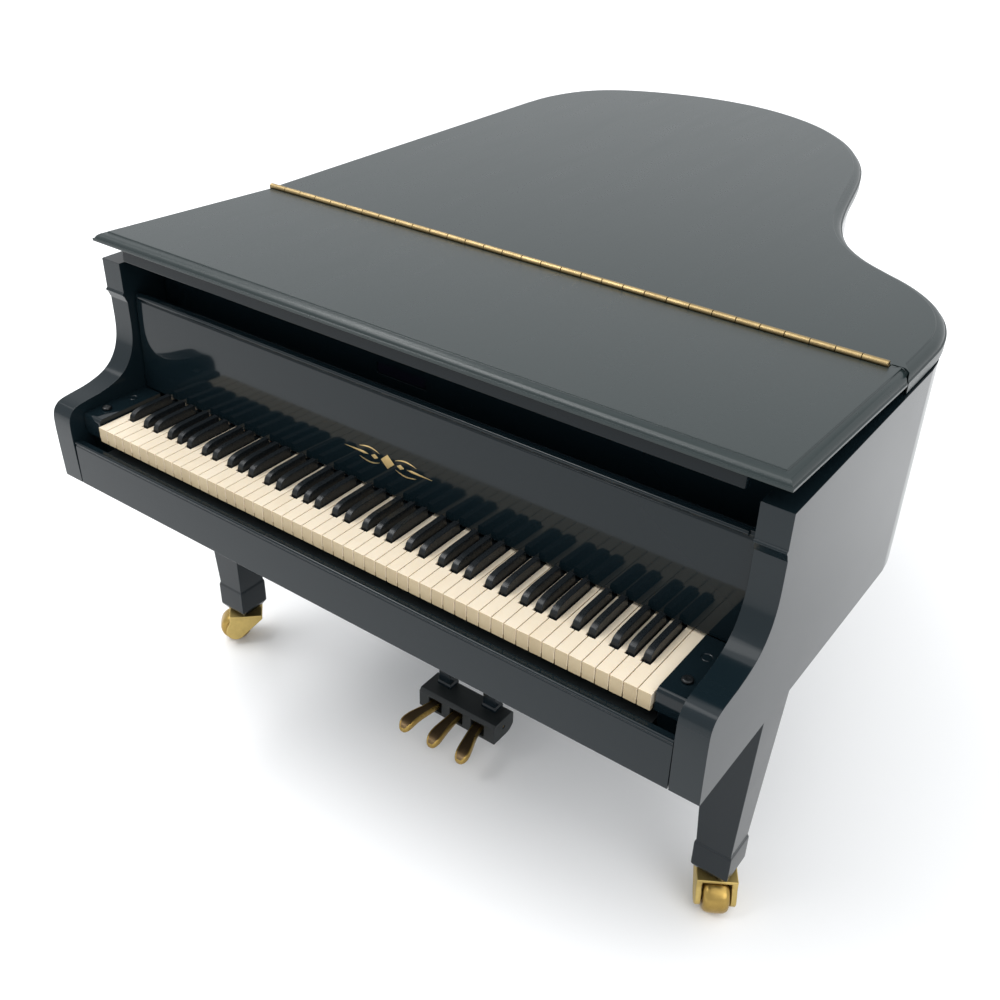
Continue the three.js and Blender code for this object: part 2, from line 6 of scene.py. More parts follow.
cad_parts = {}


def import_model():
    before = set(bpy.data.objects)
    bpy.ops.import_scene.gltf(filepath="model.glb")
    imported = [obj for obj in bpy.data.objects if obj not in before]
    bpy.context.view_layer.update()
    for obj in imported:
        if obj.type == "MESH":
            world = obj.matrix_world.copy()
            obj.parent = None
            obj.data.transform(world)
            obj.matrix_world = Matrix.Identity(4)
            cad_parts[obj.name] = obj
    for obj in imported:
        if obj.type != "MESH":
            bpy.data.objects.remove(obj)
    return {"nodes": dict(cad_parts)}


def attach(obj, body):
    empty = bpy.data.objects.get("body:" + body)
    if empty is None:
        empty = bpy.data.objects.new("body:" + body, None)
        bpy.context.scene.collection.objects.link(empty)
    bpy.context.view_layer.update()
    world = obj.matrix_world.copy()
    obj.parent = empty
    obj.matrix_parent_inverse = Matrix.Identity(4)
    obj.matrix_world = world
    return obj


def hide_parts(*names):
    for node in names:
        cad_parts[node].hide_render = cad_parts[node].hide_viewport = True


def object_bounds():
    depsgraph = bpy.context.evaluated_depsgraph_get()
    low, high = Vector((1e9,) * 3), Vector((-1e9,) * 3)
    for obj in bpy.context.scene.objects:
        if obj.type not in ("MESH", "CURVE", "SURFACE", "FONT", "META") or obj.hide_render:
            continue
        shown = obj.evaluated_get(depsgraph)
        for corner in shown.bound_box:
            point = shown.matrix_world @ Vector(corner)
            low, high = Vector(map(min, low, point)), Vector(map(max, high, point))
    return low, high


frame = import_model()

CAD_LO, CAD_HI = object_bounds()
CAD_LO, CAD_HI = list(CAD_LO), list(CAD_HI)

# ------------------------------------------------------------------ the case frame, in mm
Y0, Z0 = 162.35, 124.6
FLOOR = -124.6
KEY_PITCH, KEY_GAP, KEY_BACK = 4.0, 0.26, 38.0
SHARP_W, SHARP_FRONT, SHARP_TOP = 2.3, 9.8, 3.1
CASE_HALF, ARM_T, RIM_T = 121.8, 8.6, 7.0
CASE_BOTTOM, RIM_TOP = -22.8, 46.5
LID_HALF, LID_TOP, LID_BOTTOM = 121.2, 52.55, 46.9
FLAP_T, FLAP_FRONT = 3.2, 21.8
HINGE_Y, HINGE_Z, KNUCKLE_R, KNUCKLE_PITCH, KNUCKLES, HINGE_X0 = 98.0, 53.0, 1.1, 7.516, 31, -118.4
FLAP_TILT = math.radians(2.85)
SPINE_X, SPINE_Z = -121.0, 46.7
FALL_Y, FALL_Z = 28.4, 4.6
LEG_X, LEG_Y, LEG_TOP, LEG_END = 108.6, 54.2, -23.1, -110.3
REAR_LEG = (-42.0, 272.0)
WHEEL_R, WHEEL_W, TRAIL = 6.2, 8.6, 4.3
LYRE_HALF, PEDAL_AXIS = 17.5, (63.0, -110.4)
PED_ROOT, PED_TIP = 9.8, 13.0
INNER, ARM_IN = CASE_HALF - RIM_T, CASE_HALF - ARM_T
HINGE_END = HINGE_X0 + KNUCKLES * KNUCKLE_PITCH


def world(p):
    return ((p[0]) * 0.001, (p[1] - Y0) * 0.001, (p[2] + Z0) * 0.001)


# ------------------------------------------------------------------ camera and stage
cam_data = bpy.data.cameras.new("camera")
cam_data.sensor_width = 36.0
cam_data.lens = 41.3405
cam_data.clip_start, cam_data.clip_end = 0.01, 50.0
cam = bpy.data.objects.new("camera", cam_data)
bpy.context.scene.collection.objects.link(cam)
RIGHT, UP, BACK = (0.805481, 0.592187, 0.022681), (-0.338170, 0.427868, 0.838195), (0.486664, -0.682820, 0.544899)
cam.matrix_world = Matrix((
    (RIGHT[0], UP[0], BACK[0], 0.192363),
    (RIGHT[1], UP[1], BACK[1], (-188.653 - Y0) / 1000),
    (RIGHT[2], UP[2], BACK[2], (187.530 + Z0) / 1000),
    (0, 0, 0, 1)))
bpy.context.scene.camera = cam


# ------------------------------------------------------------------ node helpers
class Mat:
    """A small wrapper that builds one procedural material."""

    def __init__(self, name):
        self.m = bpy.data.materials.new(name)
        self.m.use_nodes = True
        self.t = self.m.node_tree
        self.t.nodes.clear()
        self.out = self.t.nodes.new("ShaderNodeOutputMaterial")
        self.b = self.t.nodes.new("ShaderNodeBsdfPrincipled")
        self.t.links.new(self.b.outputs[0], self.out.inputs[0])
        self.co = None

    def coords(self):
        if self.co is None:
            self.co = self.t.nodes.new("ShaderNodeTexCoord").outputs["Object"]
        return self.co

    def link(self, a, b):
        self.t.links.new(a, b)

    def set(self, **kw):
        for k, v in kw.items():
            self.b.inputs[k.replace("_", " ")].default_value = v
        return self

    def mapped(self, scale=(1, 1, 1), rot=(0, 0, 0)):
        n = self.t.nodes.new("ShaderNodeMapping")
        n.inputs["Scale"].default_value = scale
        n.inputs["Rotation"].default_value = rot
        self.link(self.coords(), n.inputs["Vector"])
        return n.outputs[0]

    def noise(self, scale, detail=3.0, rough=0.5, vec=None, distortion=0.0):
        n = self.t.nodes.new("ShaderNodeTexNoise")
        n.inputs["Scale"].default_value = scale
        n.inputs["Detail"].default_value = detail
        n.inputs["Roughness"].default_value = rough
        n.inputs["Distortion"].default_value = distortion
        self.link(vec if vec is not None else self.coords(), n.inputs["Vector"])
        return n.outputs["Fac"]

    def voronoi(self, scale, vec=None, out="Distance"):
        n = self.t.nodes.new("ShaderNodeTexVoronoi")
        n.inputs["Scale"].default_value = scale
        self.link(vec if vec is not None else self.coords(), n.inputs["Vector"])
        return n.outputs[out]

    def ramp(self, fac, lo, hi, a, b):
        """fac from lo..hi mapped to a..b, clamped."""
        n = self.t.nodes.new("ShaderNodeMapRange")
        n.inputs["From Min"].default_value = lo
        n.inputs["From Max"].default_value = hi
        n.inputs["To Min"].default_value = a
        n.inputs["To Max"].default_value = b
        self.link(fac, n.inputs["Value"])
        return n.outputs[0]

    def math(self, op, a, b):
        n = self.t.nodes.new("ShaderNodeMath")
        n.operation = op
        for i, x in enumerate((a, b)):
            if x is None:
                continue
            if isinstance(x, (int, float)):
                n.inputs[i].default_value = x
            else:
                self.link(x, n.inputs[i])
        return n.outputs[0]

    def mix(self, fac, a, b):
        n = self.t.nodes.new("ShaderNodeMix")
        n.data_type = "RGBA"
        for i, x in ((6, a), (7, b)):
            if isinstance(x, tuple):
                n.inputs[i].default_value = (*x, 1.0)
            else:
                self.link(x, n.inputs[i])
        self.link(fac, n.inputs[0])
        return n.outputs[2]

    def bump(self, height, strength, distance):
        n = self.t.nodes.new("ShaderNodeBump")
        n.inputs["Strength"].default_value = strength
        n.inputs["Distance"].default_value = distance
        self.link(height, n.inputs["Height"])
        self.link(n.outputs[0], self.b.inputs["Normal"])

    def color(self, sock):
        self.link(sock, self.b.inputs["Base Color"])

    def rough(self, sock):
        self.link(sock, self.b.inputs["Roughness"])


def lacquer(name, base, light, rough_lo, rough_hi, dust=0.06, peel=0.03, ior=1.34):
    """Polished black plastic: faint orange peel, handling haze in the gloss, and sparse dust."""
    m = Mat(name)
    m.set(IOR=ior)
    specks = m.ramp(m.voronoi(520.0), 0.045, 0.10, 1.0, 0.0)
    patches = m.ramp(m.noise(38.0, 4.0), 0.52, 0.68, 0.0, dust)
    d = m.math("MULTIPLY", specks, patches)
    m.color(m.mix(d, base, light))
    haze = m.noise(24.0, 6.0, 0.62, distortion=0.6)
    m.rough(m.math("ADD", m.ramp(haze, 0.35, 0.7, rough_lo, rough_hi), m.math("MULTIPLY", d, 2.0)))
    m.bump(m.noise(170.0, 2.0, 0.4), peel, 0.0006)
    return m.m


def satin(name, base, light, rough_lo, rough_hi, grain=0.06):
    """Satin black top: very fine tooth, faint rubbed streaks and dust."""
    m = Mat(name)
    m.set(IOR=1.41)
    streak = m.noise(30.0, 5.0, 0.6, vec=m.mapped((6.0, 0.7, 1.0), (0, 0, 0.35)))
    fine = m.noise(1400.0, 2.0, 0.6)
    specks = m.ramp(m.voronoi(430.0), 0.05, 0.11, 1.0, 0.0)
    d = m.math("MULTIPLY", specks, m.ramp(m.noise(30.0, 4.0), 0.5, 0.7, 0.0, 0.12))
    tone = m.math("ADD", m.ramp(streak, 0.3, 0.75, 0.0, 0.25), d)
    m.color(m.mix(tone, base, light))
    m.rough(m.math("ADD", m.ramp(streak, 0.3, 0.7, rough_lo, rough_hi), m.ramp(fine, 0.3, 0.7, -0.02, 0.02)))
    m.bump(fine, grain, 0.00004)
    return m.m


def brass(name, base, dark, rough_lo, rough_hi, brush=(1, 1, 1)):
    """Plated brass: slight tarnish in patches, fine drawn lines."""
    m = Mat(name)
    m.set(Metallic=1.0)
    tarnish = m.noise(120.0, 5.0, 0.65)
    lines = m.noise(900.0, 3.0, 0.6, vec=m.mapped(brush))
    m.color(m.mix(m.ramp(tarnish, 0.38, 0.72, 0.0, 0.75), base, dark))
    m.rough(m.math("ADD", m.ramp(tarnish, 0.3, 0.7, rough_lo, rough_hi), m.ramp(lines, 0.3, 0.7, -0.03, 0.05)))
    m.bump(lines, 0.08, 0.00003)
    return m.m


def ivory(name, base, warm, rough):
    """Moulded cream plastic, each key a slightly different tone."""
    m = Mat(name)
    m.set(IOR=1.46, Subsurface_Weight=0.08, Subsurface_Scale=0.001)
    m.b.inputs["Subsurface Radius"].default_value = (1.0, 0.7, 0.4)
    sep = m.t.nodes.new("ShaderNodeSeparateXYZ")
    m.link(m.coords(), sep.inputs[0])
    key = m.math("FLOOR", m.math("MULTIPLY", m.math("ADD", sep.outputs[0], 0.104), 250.0), None)
    wn = m.t.nodes.new("ShaderNodeTexWhiteNoise")
    wn.noise_dimensions = "1D"
    m.link(key, wn.inputs["W"])
    grime = m.noise(150.0, 5.0, 0.6)
    tone = m.math("ADD", m.math("MULTIPLY", wn.outputs["Value"], 0.45), m.ramp(grime, 0.45, 0.8, 0.0, 0.5))
    m.color(m.mix(tone, base, warm))
    m.rough(m.ramp(m.noise(400.0, 3.0), 0.3, 0.7, rough - 0.05, rough + 0.07))
    m.bump(m.noise(2200.0, 2.0), 0.05, 0.00003)
    return m.m


def moulded(name, base, light, rough, bump=0.25, scale=2600.0, ior=1.47):
    """Matte moulded plastic or rubber with a fine spark-eroded texture."""
    m = Mat(name)
    m.set(IOR=ior)
    fine = m.noise(scale, 3.0, 0.6)
    broad = m.noise(70.0, 4.0, 0.55)
    m.color(m.mix(m.math("ADD", m.ramp(broad, 0.4, 0.75, 0.0, 0.35), m.ramp(fine, 0.4, 0.7, 0.0, 0.25)), base, light))
    m.rough(m.ramp(fine, 0.3, 0.7, rough - 0.07, rough + 0.07))
    m.bump(fine, bump, 0.00005)
    return m.m


def wood(name, base, dark, rough):
    """Straight-grained varnished spruce."""
    m = Mat(name)
    m.set(IOR=1.5)
    vec = m.mapped((1.0, 0.035, 1.0), (0, 0, 0.18))
    w = m.t.nodes.new("ShaderNodeTexWave")
    w.wave_type, w.bands_direction = "BANDS", "X"
    w.inputs["Scale"].default_value = 210.0
    w.inputs["Distortion"].default_value = 2.5
    w.inputs["Detail"].default_value = 3.0
    w.inputs["Detail Scale"].default_value = 1.6
    m.link(vec, w.inputs["Vector"])
    fibre = m.noise(2500.0, 3.0, 0.6, vec=m.mapped((1.0, 0.03, 1.0), (0, 0, 0.18)))
    m.color(m.mix(m.math("ADD", m.math("MULTIPLY", w.outputs["Fac"], 0.55), m.ramp(fibre, 0.3, 0.8, 0.0, 0.4)), base, dark))
    m.rough(m.ramp(fibre, 0.3, 0.7, rough - 0.05, rough + 0.08))
    m.bump(fibre, 0.15, 0.00005)
    return m.m


def metal_wire(name, base, rough):
    m = Mat(name)
    m.set(Metallic=1.0)
    n = m.noise(1500.0, 2.0, 0.5, vec=m.mapped((1, 6, 1)))
    m.color(m.mix(m.ramp(n, 0.3, 0.7, 0.0, 0.5), base, tuple(x * 0.6 for x in base)))
    m.rough(m.ramp(n, 0.3, 0.7, rough - 0.08, rough + 0.08))
    return m.m


def felt(name, base, light):
    m = Mat(name)
    m.set(IOR=1.4)
    n = m.noise(3500.0, 4.0, 0.7)
    m.color(m.mix(m.ramp(n, 0.35, 0.75, 0.0, 1.0), base, light))
    m.rough(m.ramp(n, 0.3, 0.7, 0.85, 0.98))
    m.bump(n, 0.6, 0.00015)
    return m.m


GLOSS = lacquer("piano_gloss", (0.0040, 0.0085, 0.0112), (0.12, 0.13, 0.13), 0.05, 0.10, 0.04, 0.012, 1.32)
SLIP = lacquer("slip_gloss", (0.0045, 0.0090, 0.0118), (0.12, 0.13, 0.13), 0.08, 0.14, 0.04, 0.012, 1.31)
GLOSS_SIDE = lacquer("case_gloss", (0.0050, 0.0100, 0.0130), (0.12, 0.13, 0.13), 0.10, 0.17, 0.04, 0.012)
SATIN = satin("lid_satin", (0.0105, 0.0185, 0.0190), (0.0180, 0.0265, 0.0270), 0.28, 0.31, 0.015)
SATIN_LEG = lacquer("leg_gloss", (0.0050, 0.0090, 0.0120), (0.10, 0.11, 0.11), 0.16, 0.24, 0.04, 0.015)
RAIL = lacquer("rail_gloss", (0.0030, 0.0060, 0.0080), (0.06, 0.07, 0.07), 0.16, 0.22, 0.02, 0.008, 1.26)
MATTE = moulded("matte_charcoal", (0.0080, 0.0110, 0.0118), (0.019, 0.023, 0.024), 0.58)
IVORY = ivory("key_cream", (0.715, 0.625, 0.490), (0.655, 0.555, 0.410), 0.36)
# darker copy of the key cream for the key fronts and the lip under them: painted shade on faces turned away from the
# overhead light
IVORY_FRONT_SHADE = ivory("key_front_painted_shade", (0.43, 0.345, 0.215), (0.35, 0.270, 0.160), 0.48)
EBONY = moulded("key_black_plastic", (0.0044, 0.0064, 0.0080), (0.0080, 0.0105, 0.0125), 0.30, 0.04, 2600.0, 1.36)
BRASS = brass("brass_plate", (0.43, 0.290, 0.085), (0.28, 0.185, 0.055), 0.24, 0.34)
BRASS_FORK = brass("brass_fork", (0.58, 0.43, 0.155), (0.38, 0.29, 0.105), 0.42, 0.54)
BRASS_HINGE = brass("brass_hinge", (0.33, 0.245, 0.120), (0.22, 0.160, 0.078), 0.34, 0.44, (0.05, 1, 1))
BRONZE = brass("pedal_bronze", (0.17, 0.115, 0.060), (0.105, 0.070, 0.036), 0.34, 0.46)
GOLDPAINT = brass("gold_paint", (0.52, 0.37, 0.15), (0.36, 0.25, 0.10), 0.40, 0.52)
INLAY = brass("gold_inlay", (0.78, 0.60, 0.30), (0.55, 0.40, 0.18), 0.30, 0.42)
SPRUCE = wood("spruce", (0.50, 0.30, 0.125), (0.26, 0.135, 0.05), 0.36)
RUBBER = moulded("black_rubber", (0.0045, 0.0055, 0.0062), (0.009, 0.010, 0.010), 0.30, 0.05, 2600.0, 1.36)
SMOKED = lacquer("smoked_window", (0.006, 0.006, 0.012), (0.05, 0.05, 0.06), 0.03, 0.06)
STEEL = metal_wire("steel_wire", (0.62, 0.62, 0.64), 0.28)
COPPER = metal_wire("copper_wire", (0.72, 0.36, 0.20), 0.34)
SCREW = metal_wire("screw_black_steel", (0.13, 0.13, 0.14), 0.38)
RED_FELT = felt("red_felt", (0.22, 0.012, 0.014), (0.36, 0.03, 0.03))
GREEN_FELT = felt("dark_felt", (0.016, 0.016, 0.018), (0.045, 0.045, 0.05))
CONE = felt("speaker_cone", (0.020, 0.020, 0.020), (0.05, 0.05, 0.048))


# ------------------------------------------------------------------ mesh helpers, in mm of the case frame
class Shape:
    def __init__(self):
        self.v, self.f, self.m = [], [], []

    def add(self, piece, mat=0, xf=None):
        verts, faces = piece
        base = len(self.v)
        if xf is not None:
            verts = [tuple(xf @ Vector(p)) for p in verts]
        self.v.extend(verts)
        self.f.extend([tuple(base + i for i in f) for f in faces])
        self.m.extend([mat] * len(faces) if isinstance(mat, int) else mat)
        return self


def area2(pts):
    return sum(a[0] * b[1] - b[0] * a[1] for a, b in zip(pts, pts[1:] + pts[:1])) / 2


def loft(loops, closed_ring=True, caps=True):
    n = len(loops[0])
    verts = [tuple(p) for l in loops for p in l]
    faces = []
    for i in range(len(loops) - 1):
        for k in range(n if closed_ring else n - 1):
            a, b = i * n + k, i * n + (k + 1) % n
            faces.append((a, b, b + n, a + n))
    if caps:
        faces.append(tuple(reversed(range(n))))
        faces.append(tuple(range((len(loops) - 1) * n, len(loops) * n)))
    return verts, faces


def prism(pts, a, b, axis="z"):
    pts = list(pts)
    if area2(pts) < 0:
        pts.reverse()
    place = {"z": lambda p, h: (p[0], p[1], h), "x": lambda p, h: (h, p[0], p[1]), "y": lambda p, h: (p[1], h, p[0])}[axis]
    return loft([[place(p, a) for p in pts], [place(p, b) for p in pts]])


def box(x0, x1, y0, y1, z0, z1):
    return prism([(x0, y0), (x1, y0), (x1, y1), (x0, y1)], z0, z1)


def lathe(profile, seg, axis="z", centre=(0, 0, 0), closed=False):
    """Revolves (r, h) points. With closed=False the ends are capped; with closed=True the profile closes on itself."""
    place = {"z": lambda r, h, c, s: (r * c, r * s, h), "x": lambda r, h, c, s: (h, r * c, r * s), "y": lambda r, h, c, s: (r * s, h, r * c)}[axis]
    loops = []
    for r, h in profile:
        loops.append([tuple(Vector(place(r, h, math.cos(2 * math.pi * k / seg), math.sin(2 * math.pi * k / seg))) + Vector(centre)) for k in range(seg)])
    if closed:
        verts, faces = loft(loops + [loops[0]], caps=False)
        n, base = seg, len(loops) * seg
        faces = [tuple(i - base if i >= base else i for i in f) for f in faces]
        return verts[:base], faces
    return loft(loops)


def ball_profile(r, h0, h1, n=4):
    """A plain cylinder profile: returns (r, h) list. n is not used."""
    return [(r, h0), (r, h1)]


def rounded_rod(r, a, b, e, seg=24, axis="z", centre=(0, 0, 0)):
    """A cylinder with its two edges rounded by e."""
    prof = []
    for i in range(4):
        t = math.pi / 2 * i / 3
        prof.append((r - e + e * math.sin(t), a + e - e * math.cos(t)))
    for i in range(4):
        t = math.pi / 2 * i / 3
        prof.append((r - e + e * math.cos(t), b - e + e * math.sin(t)))
    return lathe(prof, seg, axis, centre)


def slab(outline, weights, profile):
    """A flat board whose edge follows profile = [(inset, z), ...] from the top down.
    weights[i] belongs to the edge from point i to i+1: 1 for a shaped edge, 0 for a plain cut."""
    pts = list(outline)
    n = len(pts)
    if area2(pts) < 0:
        pts.reverse()
        weights = [weights[(n - 2 - i) % n] for i in range(n)]
    norms = []
    for i in range(n):
        a, b = pts[i], pts[(i + 1) % n]
        dx, dy = b[0] - a[0], b[1] - a[1]
        l = math.hypot(dx, dy)
        norms.append((-dy / l, dx / l))  # inwards
    loops = []
    for inset, z in reversed(profile):
        loop = []
        for i in range(n):
            n0, n1 = norms[i - 1], norms[i]
            d0, d1 = inset * weights[i - 1], inset * weights[i]
            det = n0[0] * n1[1] - n0[1] * n1[0]
            if abs(det) < 0.02:
                mx, my = (n0[0] + n1[0]) / 2, (n0[1] + n1[1]) / 2
                l = math.hypot(mx, my)
                d = (d0 + d1) / 2
                ox, oy = mx / l * d, my / l * d
            else:
                ox = (d0 * n1[1] - d1 * n0[1]) / det
                oy = (n0[0] * d1 - n1[0] * d0) / det
            loop.append((pts[i][0] + ox, pts[i][1] + oy, z))
        loops.append(loop)
    return loft(loops)


def smooth_run(points, per=5):
    """Centripetal Catmull-Rom through the points, ends kept."""
    P = [Vector(p) for p in points]
    P = [P[0] * 2 - P[1]] + P + [P[-1] * 2 - P[-2]]
    out = []
    for i in range(1, len(P) - 2):
        p0, p1, p2, p3 = P[i - 1], P[i], P[i + 1], P[i + 2]
        t0 = 0.0
        t1 = t0 + (p1 - p0).length ** 0.5
        t2 = t1 + (p2 - p1).length ** 0.5
        t3 = t2 + (p3 - p2).length ** 0.5
        for k in range(per):
            t = t1 + (t2 - t1) * k / per
            a1 = p0 * ((t1 - t) / (t1 - t0)) + p1 * ((t - t0) / (t1 - t0))
            a2 = p1 * ((t2 - t) / (t2 - t1)) + p2 * ((t - t1) / (t2 - t1))
            a3 = p2 * ((t3 - t) / (t3 - t2)) + p3 * ((t - t2) / (t3 - t2))
            b1 = a1 * ((t2 - t) / (t2 - t0)) + a2 * ((t - t0) / (t2 - t0))
            b2 = a2 * ((t3 - t) / (t3 - t1)) + a3 * ((t - t1) / (t3 - t1))
            out.append(tuple(b1 * ((t2 - t) / (t2 - t1)) + b2 * ((t - t1) / (t2 - t1))))
    out.append(tuple(P[-2]))
    return out


def turn_x(angle, y, z):
    return Matrix.Translation((0, y, z)) @ Matrix.Rotation(angle, 4, "X") @ Matrix.Translation((0, -y, -z))


def spin_z(deg, x, y):
    return Matrix.Translation((x, y, 0)) @ Matrix.Rotation(math.radians(deg), 4, "Z")


def mesh_of(name, shape):
    me = bpy.data.meshes.new(name)
    me.from_pydata([world(p) for p in shape.v], [], shape.f)
    me.polygons.foreach_set("material_index", shape.m)
    bm = bmesh.new()
    bm.from_mesh(me)
    bmesh.ops.recalc_face_normals(bm, faces=bm.faces)
    bm.to_mesh(me)
    bm.free()
    return me


def boolean(shape, tools, op="DIFFERENCE"):
    """shape minus tools as a mesh, with the exact solver."""
    base = bpy.data.objects.new("b0", mesh_of("b0", shape))
    for _ in range(max(shape.m) + 1):
        base.data.materials.append(None)
    bpy.context.scene.collection.objects.link(base)
    cutters = []
    for i, t in enumerate(tools):
        c = bpy.data.objects.new(f"c{i}", mesh_of(f"c{i}", t))
        bpy.context.scene.collection.objects.link(c)
        m = base.modifiers.new(f"b{i}", "BOOLEAN")
        m.object, m.operation, m.solver = c, op, "EXACT"
        cutters.append(c)
    dg = bpy.context.evaluated_depsgraph_get()
    me = bpy.data.meshes.new_from_object(base.evaluated_get(dg))
    for o in [base, *cutters]:
        bpy.data.objects.remove(o)
    return me


def piece(name, shape, mats, body, bevel=None, replaces=(), slot=None, weld=None, soft=False):
    me = shape if isinstance(shape, bpy.types.Mesh) else mesh_of(name, shape)
    me.name = name
    marks = [0] * len(me.polygons)
    me.polygons.foreach_get("material_index", marks)
    me.materials.clear()
    mats = list(mats) if isinstance(mats, (list, tuple)) else [mats]
    for m in mats:
        me.materials.append(m)
    me.polygons.foreach_set("material_index", [min(i, len(mats) - 1) for i in marks])
    me.polygons.foreach_set("use_smooth", [True] * len(me.polygons))
    o = bpy.data.objects.new(name, me)
    bpy.context.scene.collection.objects.link(o)
    if bevel:
        w, seg, ang = (*bevel, 28)[:3]
        b = o.modifiers.new("bevel", "BEVEL")
        b.width, b.segments, b.limit_method, b.angle_limit = w * 0.001, seg, "ANGLE", math.radians(ang)
        b.miter_outer = "MITER_ARC" if soft else "MITER_SHARP"
        b.use_clamp_overlap = True
    n = o.modifiers.new("normals", "WEIGHTED_NORMAL")
    n.mode, n.weight, n.keep_sharp = "FACE_AREA_WITH_ANGLE" if soft else "FACE_AREA", 50, True
    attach(o, body)
    if replaces:
        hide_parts(*replaces)
    return o


def keep(node, mat, bevel=None):
    """A CAD node that is shown as it is, with a finer material. bevel is not used."""
    o = frame["nodes"][node]
    o.data.materials.clear()
    o.data.materials.append(mat)
    return o


# ------------------------------------------------------------------ plan outline
CURVE = [
    (-121.2, 262), (-120.4, 275), (-117.6, 287.5), (-112.8, 298.3), (-106.2, 306.9), (-98, 313.6),
    (-87, 319.6), (-75, 324.2), (-62, 327.5), (-48, 329.1), (-36, 328.9), (-24, 326.9), (-11, 322.6),
    (2, 315.9), (13.5, 307.1), (23.6, 296.8), (32.2, 284.5), (39.2, 271.2), (44.3, 257.5), (48.2, 243.4),
    (51.6, 229.2), (55.2, 215.2), (59.4, 202), (64.8, 190.2), (71.8, 180), (80.4, 171.8), (90, 165.8),
    (98, 161.2), (105, 155.8), (111.2, 149.2), (116, 141.4), (119.3, 132.6), (120.9, 124), (121.2, 116)]


def offset_run(points, dist):
    out = []
    n = len(points)
    for i, p in enumerate(points):
        a, b = points[max(0, i - 1)], points[min(n - 1, i + 1)]
        dx, dy = b[0] - a[0], b[1] - a[1]
        l = math.hypot(dx, dy)
        d = dist(i / (n - 1)) if callable(dist) else dist
        out.append((p[0] + d * dy / l, p[1] - d * dx / l))
    return out


def ease(t):
    u = min(1.0, max(0.0, t))
    return u * u * (3 - 2 * u)


def overhang(t):
    return -0.6 + 3.0 * ease(t / 0.16) * ease((1 - t) / 0.1)


def clamp_run(run, half, ymax):
    return [(max(-half, min(half, x)), min(ymax, y)) for x, y in run]


LID_CURVE = clamp_run(smooth_run(CURVE, 5), LID_HALF, 329.1)
RIM_OUT = clamp_run(smooth_run(offset_run(CURVE, overhang), 5), CASE_HALF, 329.1)
RIM_IN = smooth_run(offset_run(CURVE, lambda t: overhang(t) + RIM_T), 5)

# ------------------------------------------------------------------ case
ARM = [(-4.0, CASE_BOTTOM), (-4.3, -12), (-4.4, -2), (-4.1, 0.9), (-3.2, 2.9), (-1.6, 4.3), (0.8, 5.0), (4, 5.4),
       (8.5, 5.9), (13.2, 6.9), (17.2, 8.4), (20.6, 10.9), (23.1, 14.4), (24.6, 18.6), (25.2, 23.2), (25.3, 32.5)]
ARM_FINE = smooth_run(ARM, 4) + [(25.28, 32.8), (25.2, 33.0), (25.1, 33.2), (24.5, 34.7), (24.42, 34.95), (24.3, 35.12), (24.12, 35.2), (23.93, 35.4), (23.85, 35.7),
                                (23.93, 36.0), (24.12, 36.2), (24.3, 36.28), (24.4, 36.45), (24.4, RIM_TOP)]
outer = [(-CASE_HALF, -6)] + RIM_OUT + [(CASE_HALF, -6)]
inner = [(-ARM_IN, -6), (-ARM_IN, 44), (-INNER, 44)] + RIM_IN + [(INNER, 44), (ARM_IN, 44), (ARM_IN, -6)]
body_shape = Shape().add(prism(outer + inner[::-1], CASE_BOTTOM, RIM_TOP))
above = Shape().add(prism([(-20, CASE_BOTTOM - 5), (-4.0, CASE_BOTTOM - 5)] + ARM_FINE + [(24.4, 60), (-20, 60)], -140, 140, "x"))
cuts = [above]
for s in (-1, 1):
    a, b = sorted((s * (ARM_IN - 2), s * (ARM_IN + 3)))
    cuts.append(Shape().add(lathe([(1.3, a), (1.3, b)], 24, "x", (0, FALL_Y, FALL_Z))))
BUTTS = ((118, "front"), (240, "rear"))
BUTT_L = 16
for y, _ in BUTTS:
    cuts.append(Shape().add(box(-124, -116.2, y - 0.3, y + BUTT_L + 0.3, RIM_TOP - 1.2, RIM_TOP + 1)))
piece("case_rim", boolean(body_shape, cuts), GLOSS_SIDE, "case", (0.45, 3), ["rim"], "gloss_black")


def inside_run(gap):
    return [(-ARM_IN + gap, 0), (-ARM_IN + gap, 44 + gap), (-INNER + gap, 44 + gap)] + smooth_run(offset_run(CURVE, lambda t: overhang(t) + RIM_T + gap), 4) + [
        (INNER - gap, 44 + gap), (ARM_IN - gap, 44 + gap), (ARM_IN - gap, 0)]


def from_y(run, y0):
    r = [p for p in run if p[1] > y0 + 0.01]
    return [(r[0][0], y0)] + r + [(r[-1][0], y0)]


BATT = (-35, 35, 130, 176)
bb = Shape().add(prism(from_y(inside_run(0.3), 0.3), CASE_BOTTOM + 0.1, -19.4))
bcut = [Shape().add(box(BATT[0], BATT[1], BATT[2], BATT[3], -30, -10))]
for k in range(-2, 3):
    wd = 20 - 2.2 * k * k
    yc = 225 + 7 * k
    run = [(-45 + sx * (wd - 1.1) + 1.1 * math.cos(t), yc + 1.1 * math.sin(t)) for sx, t0 in ((1, -math.pi / 2), (-1, math.pi / 2)) for t in [t0 + math.pi * j / 8 for j in range(9)]]
    bcut.append(Shape().add(prism(run, -30, -10)))
SCREWS = [(-104, 14), (0, 14), (104, 14), (-104, 110), (104, 110), (-100, 200), (52, 186), (-104, 284), (-12, 300), (28, 262)]
for x, y in SCREWS:
    bcut.append(Shape().add(lathe([(2.3, -30), (2.3, -21.2)], 24, "z", (x, y, 0))))
piece("bottom_board_panel", boolean(bb, bcut), SATIN_LEG, "case", (0.3, 2), ["bottom_board"], "satin_black")
screws = Shape()
for i, (x, y) in enumerate(SCREWS):
    screws.add(lathe([(0.01, -21.2), (1.9, -21.2), (1.9, -21.9), (1.6, -22.25), (0.7, -22.4), (0.68, -22.0), (0.01, -22.0)], 20, "z", (x, y, 0)))
piece("case_screws", screws, SCREW, "case", None, (), "matte_black")

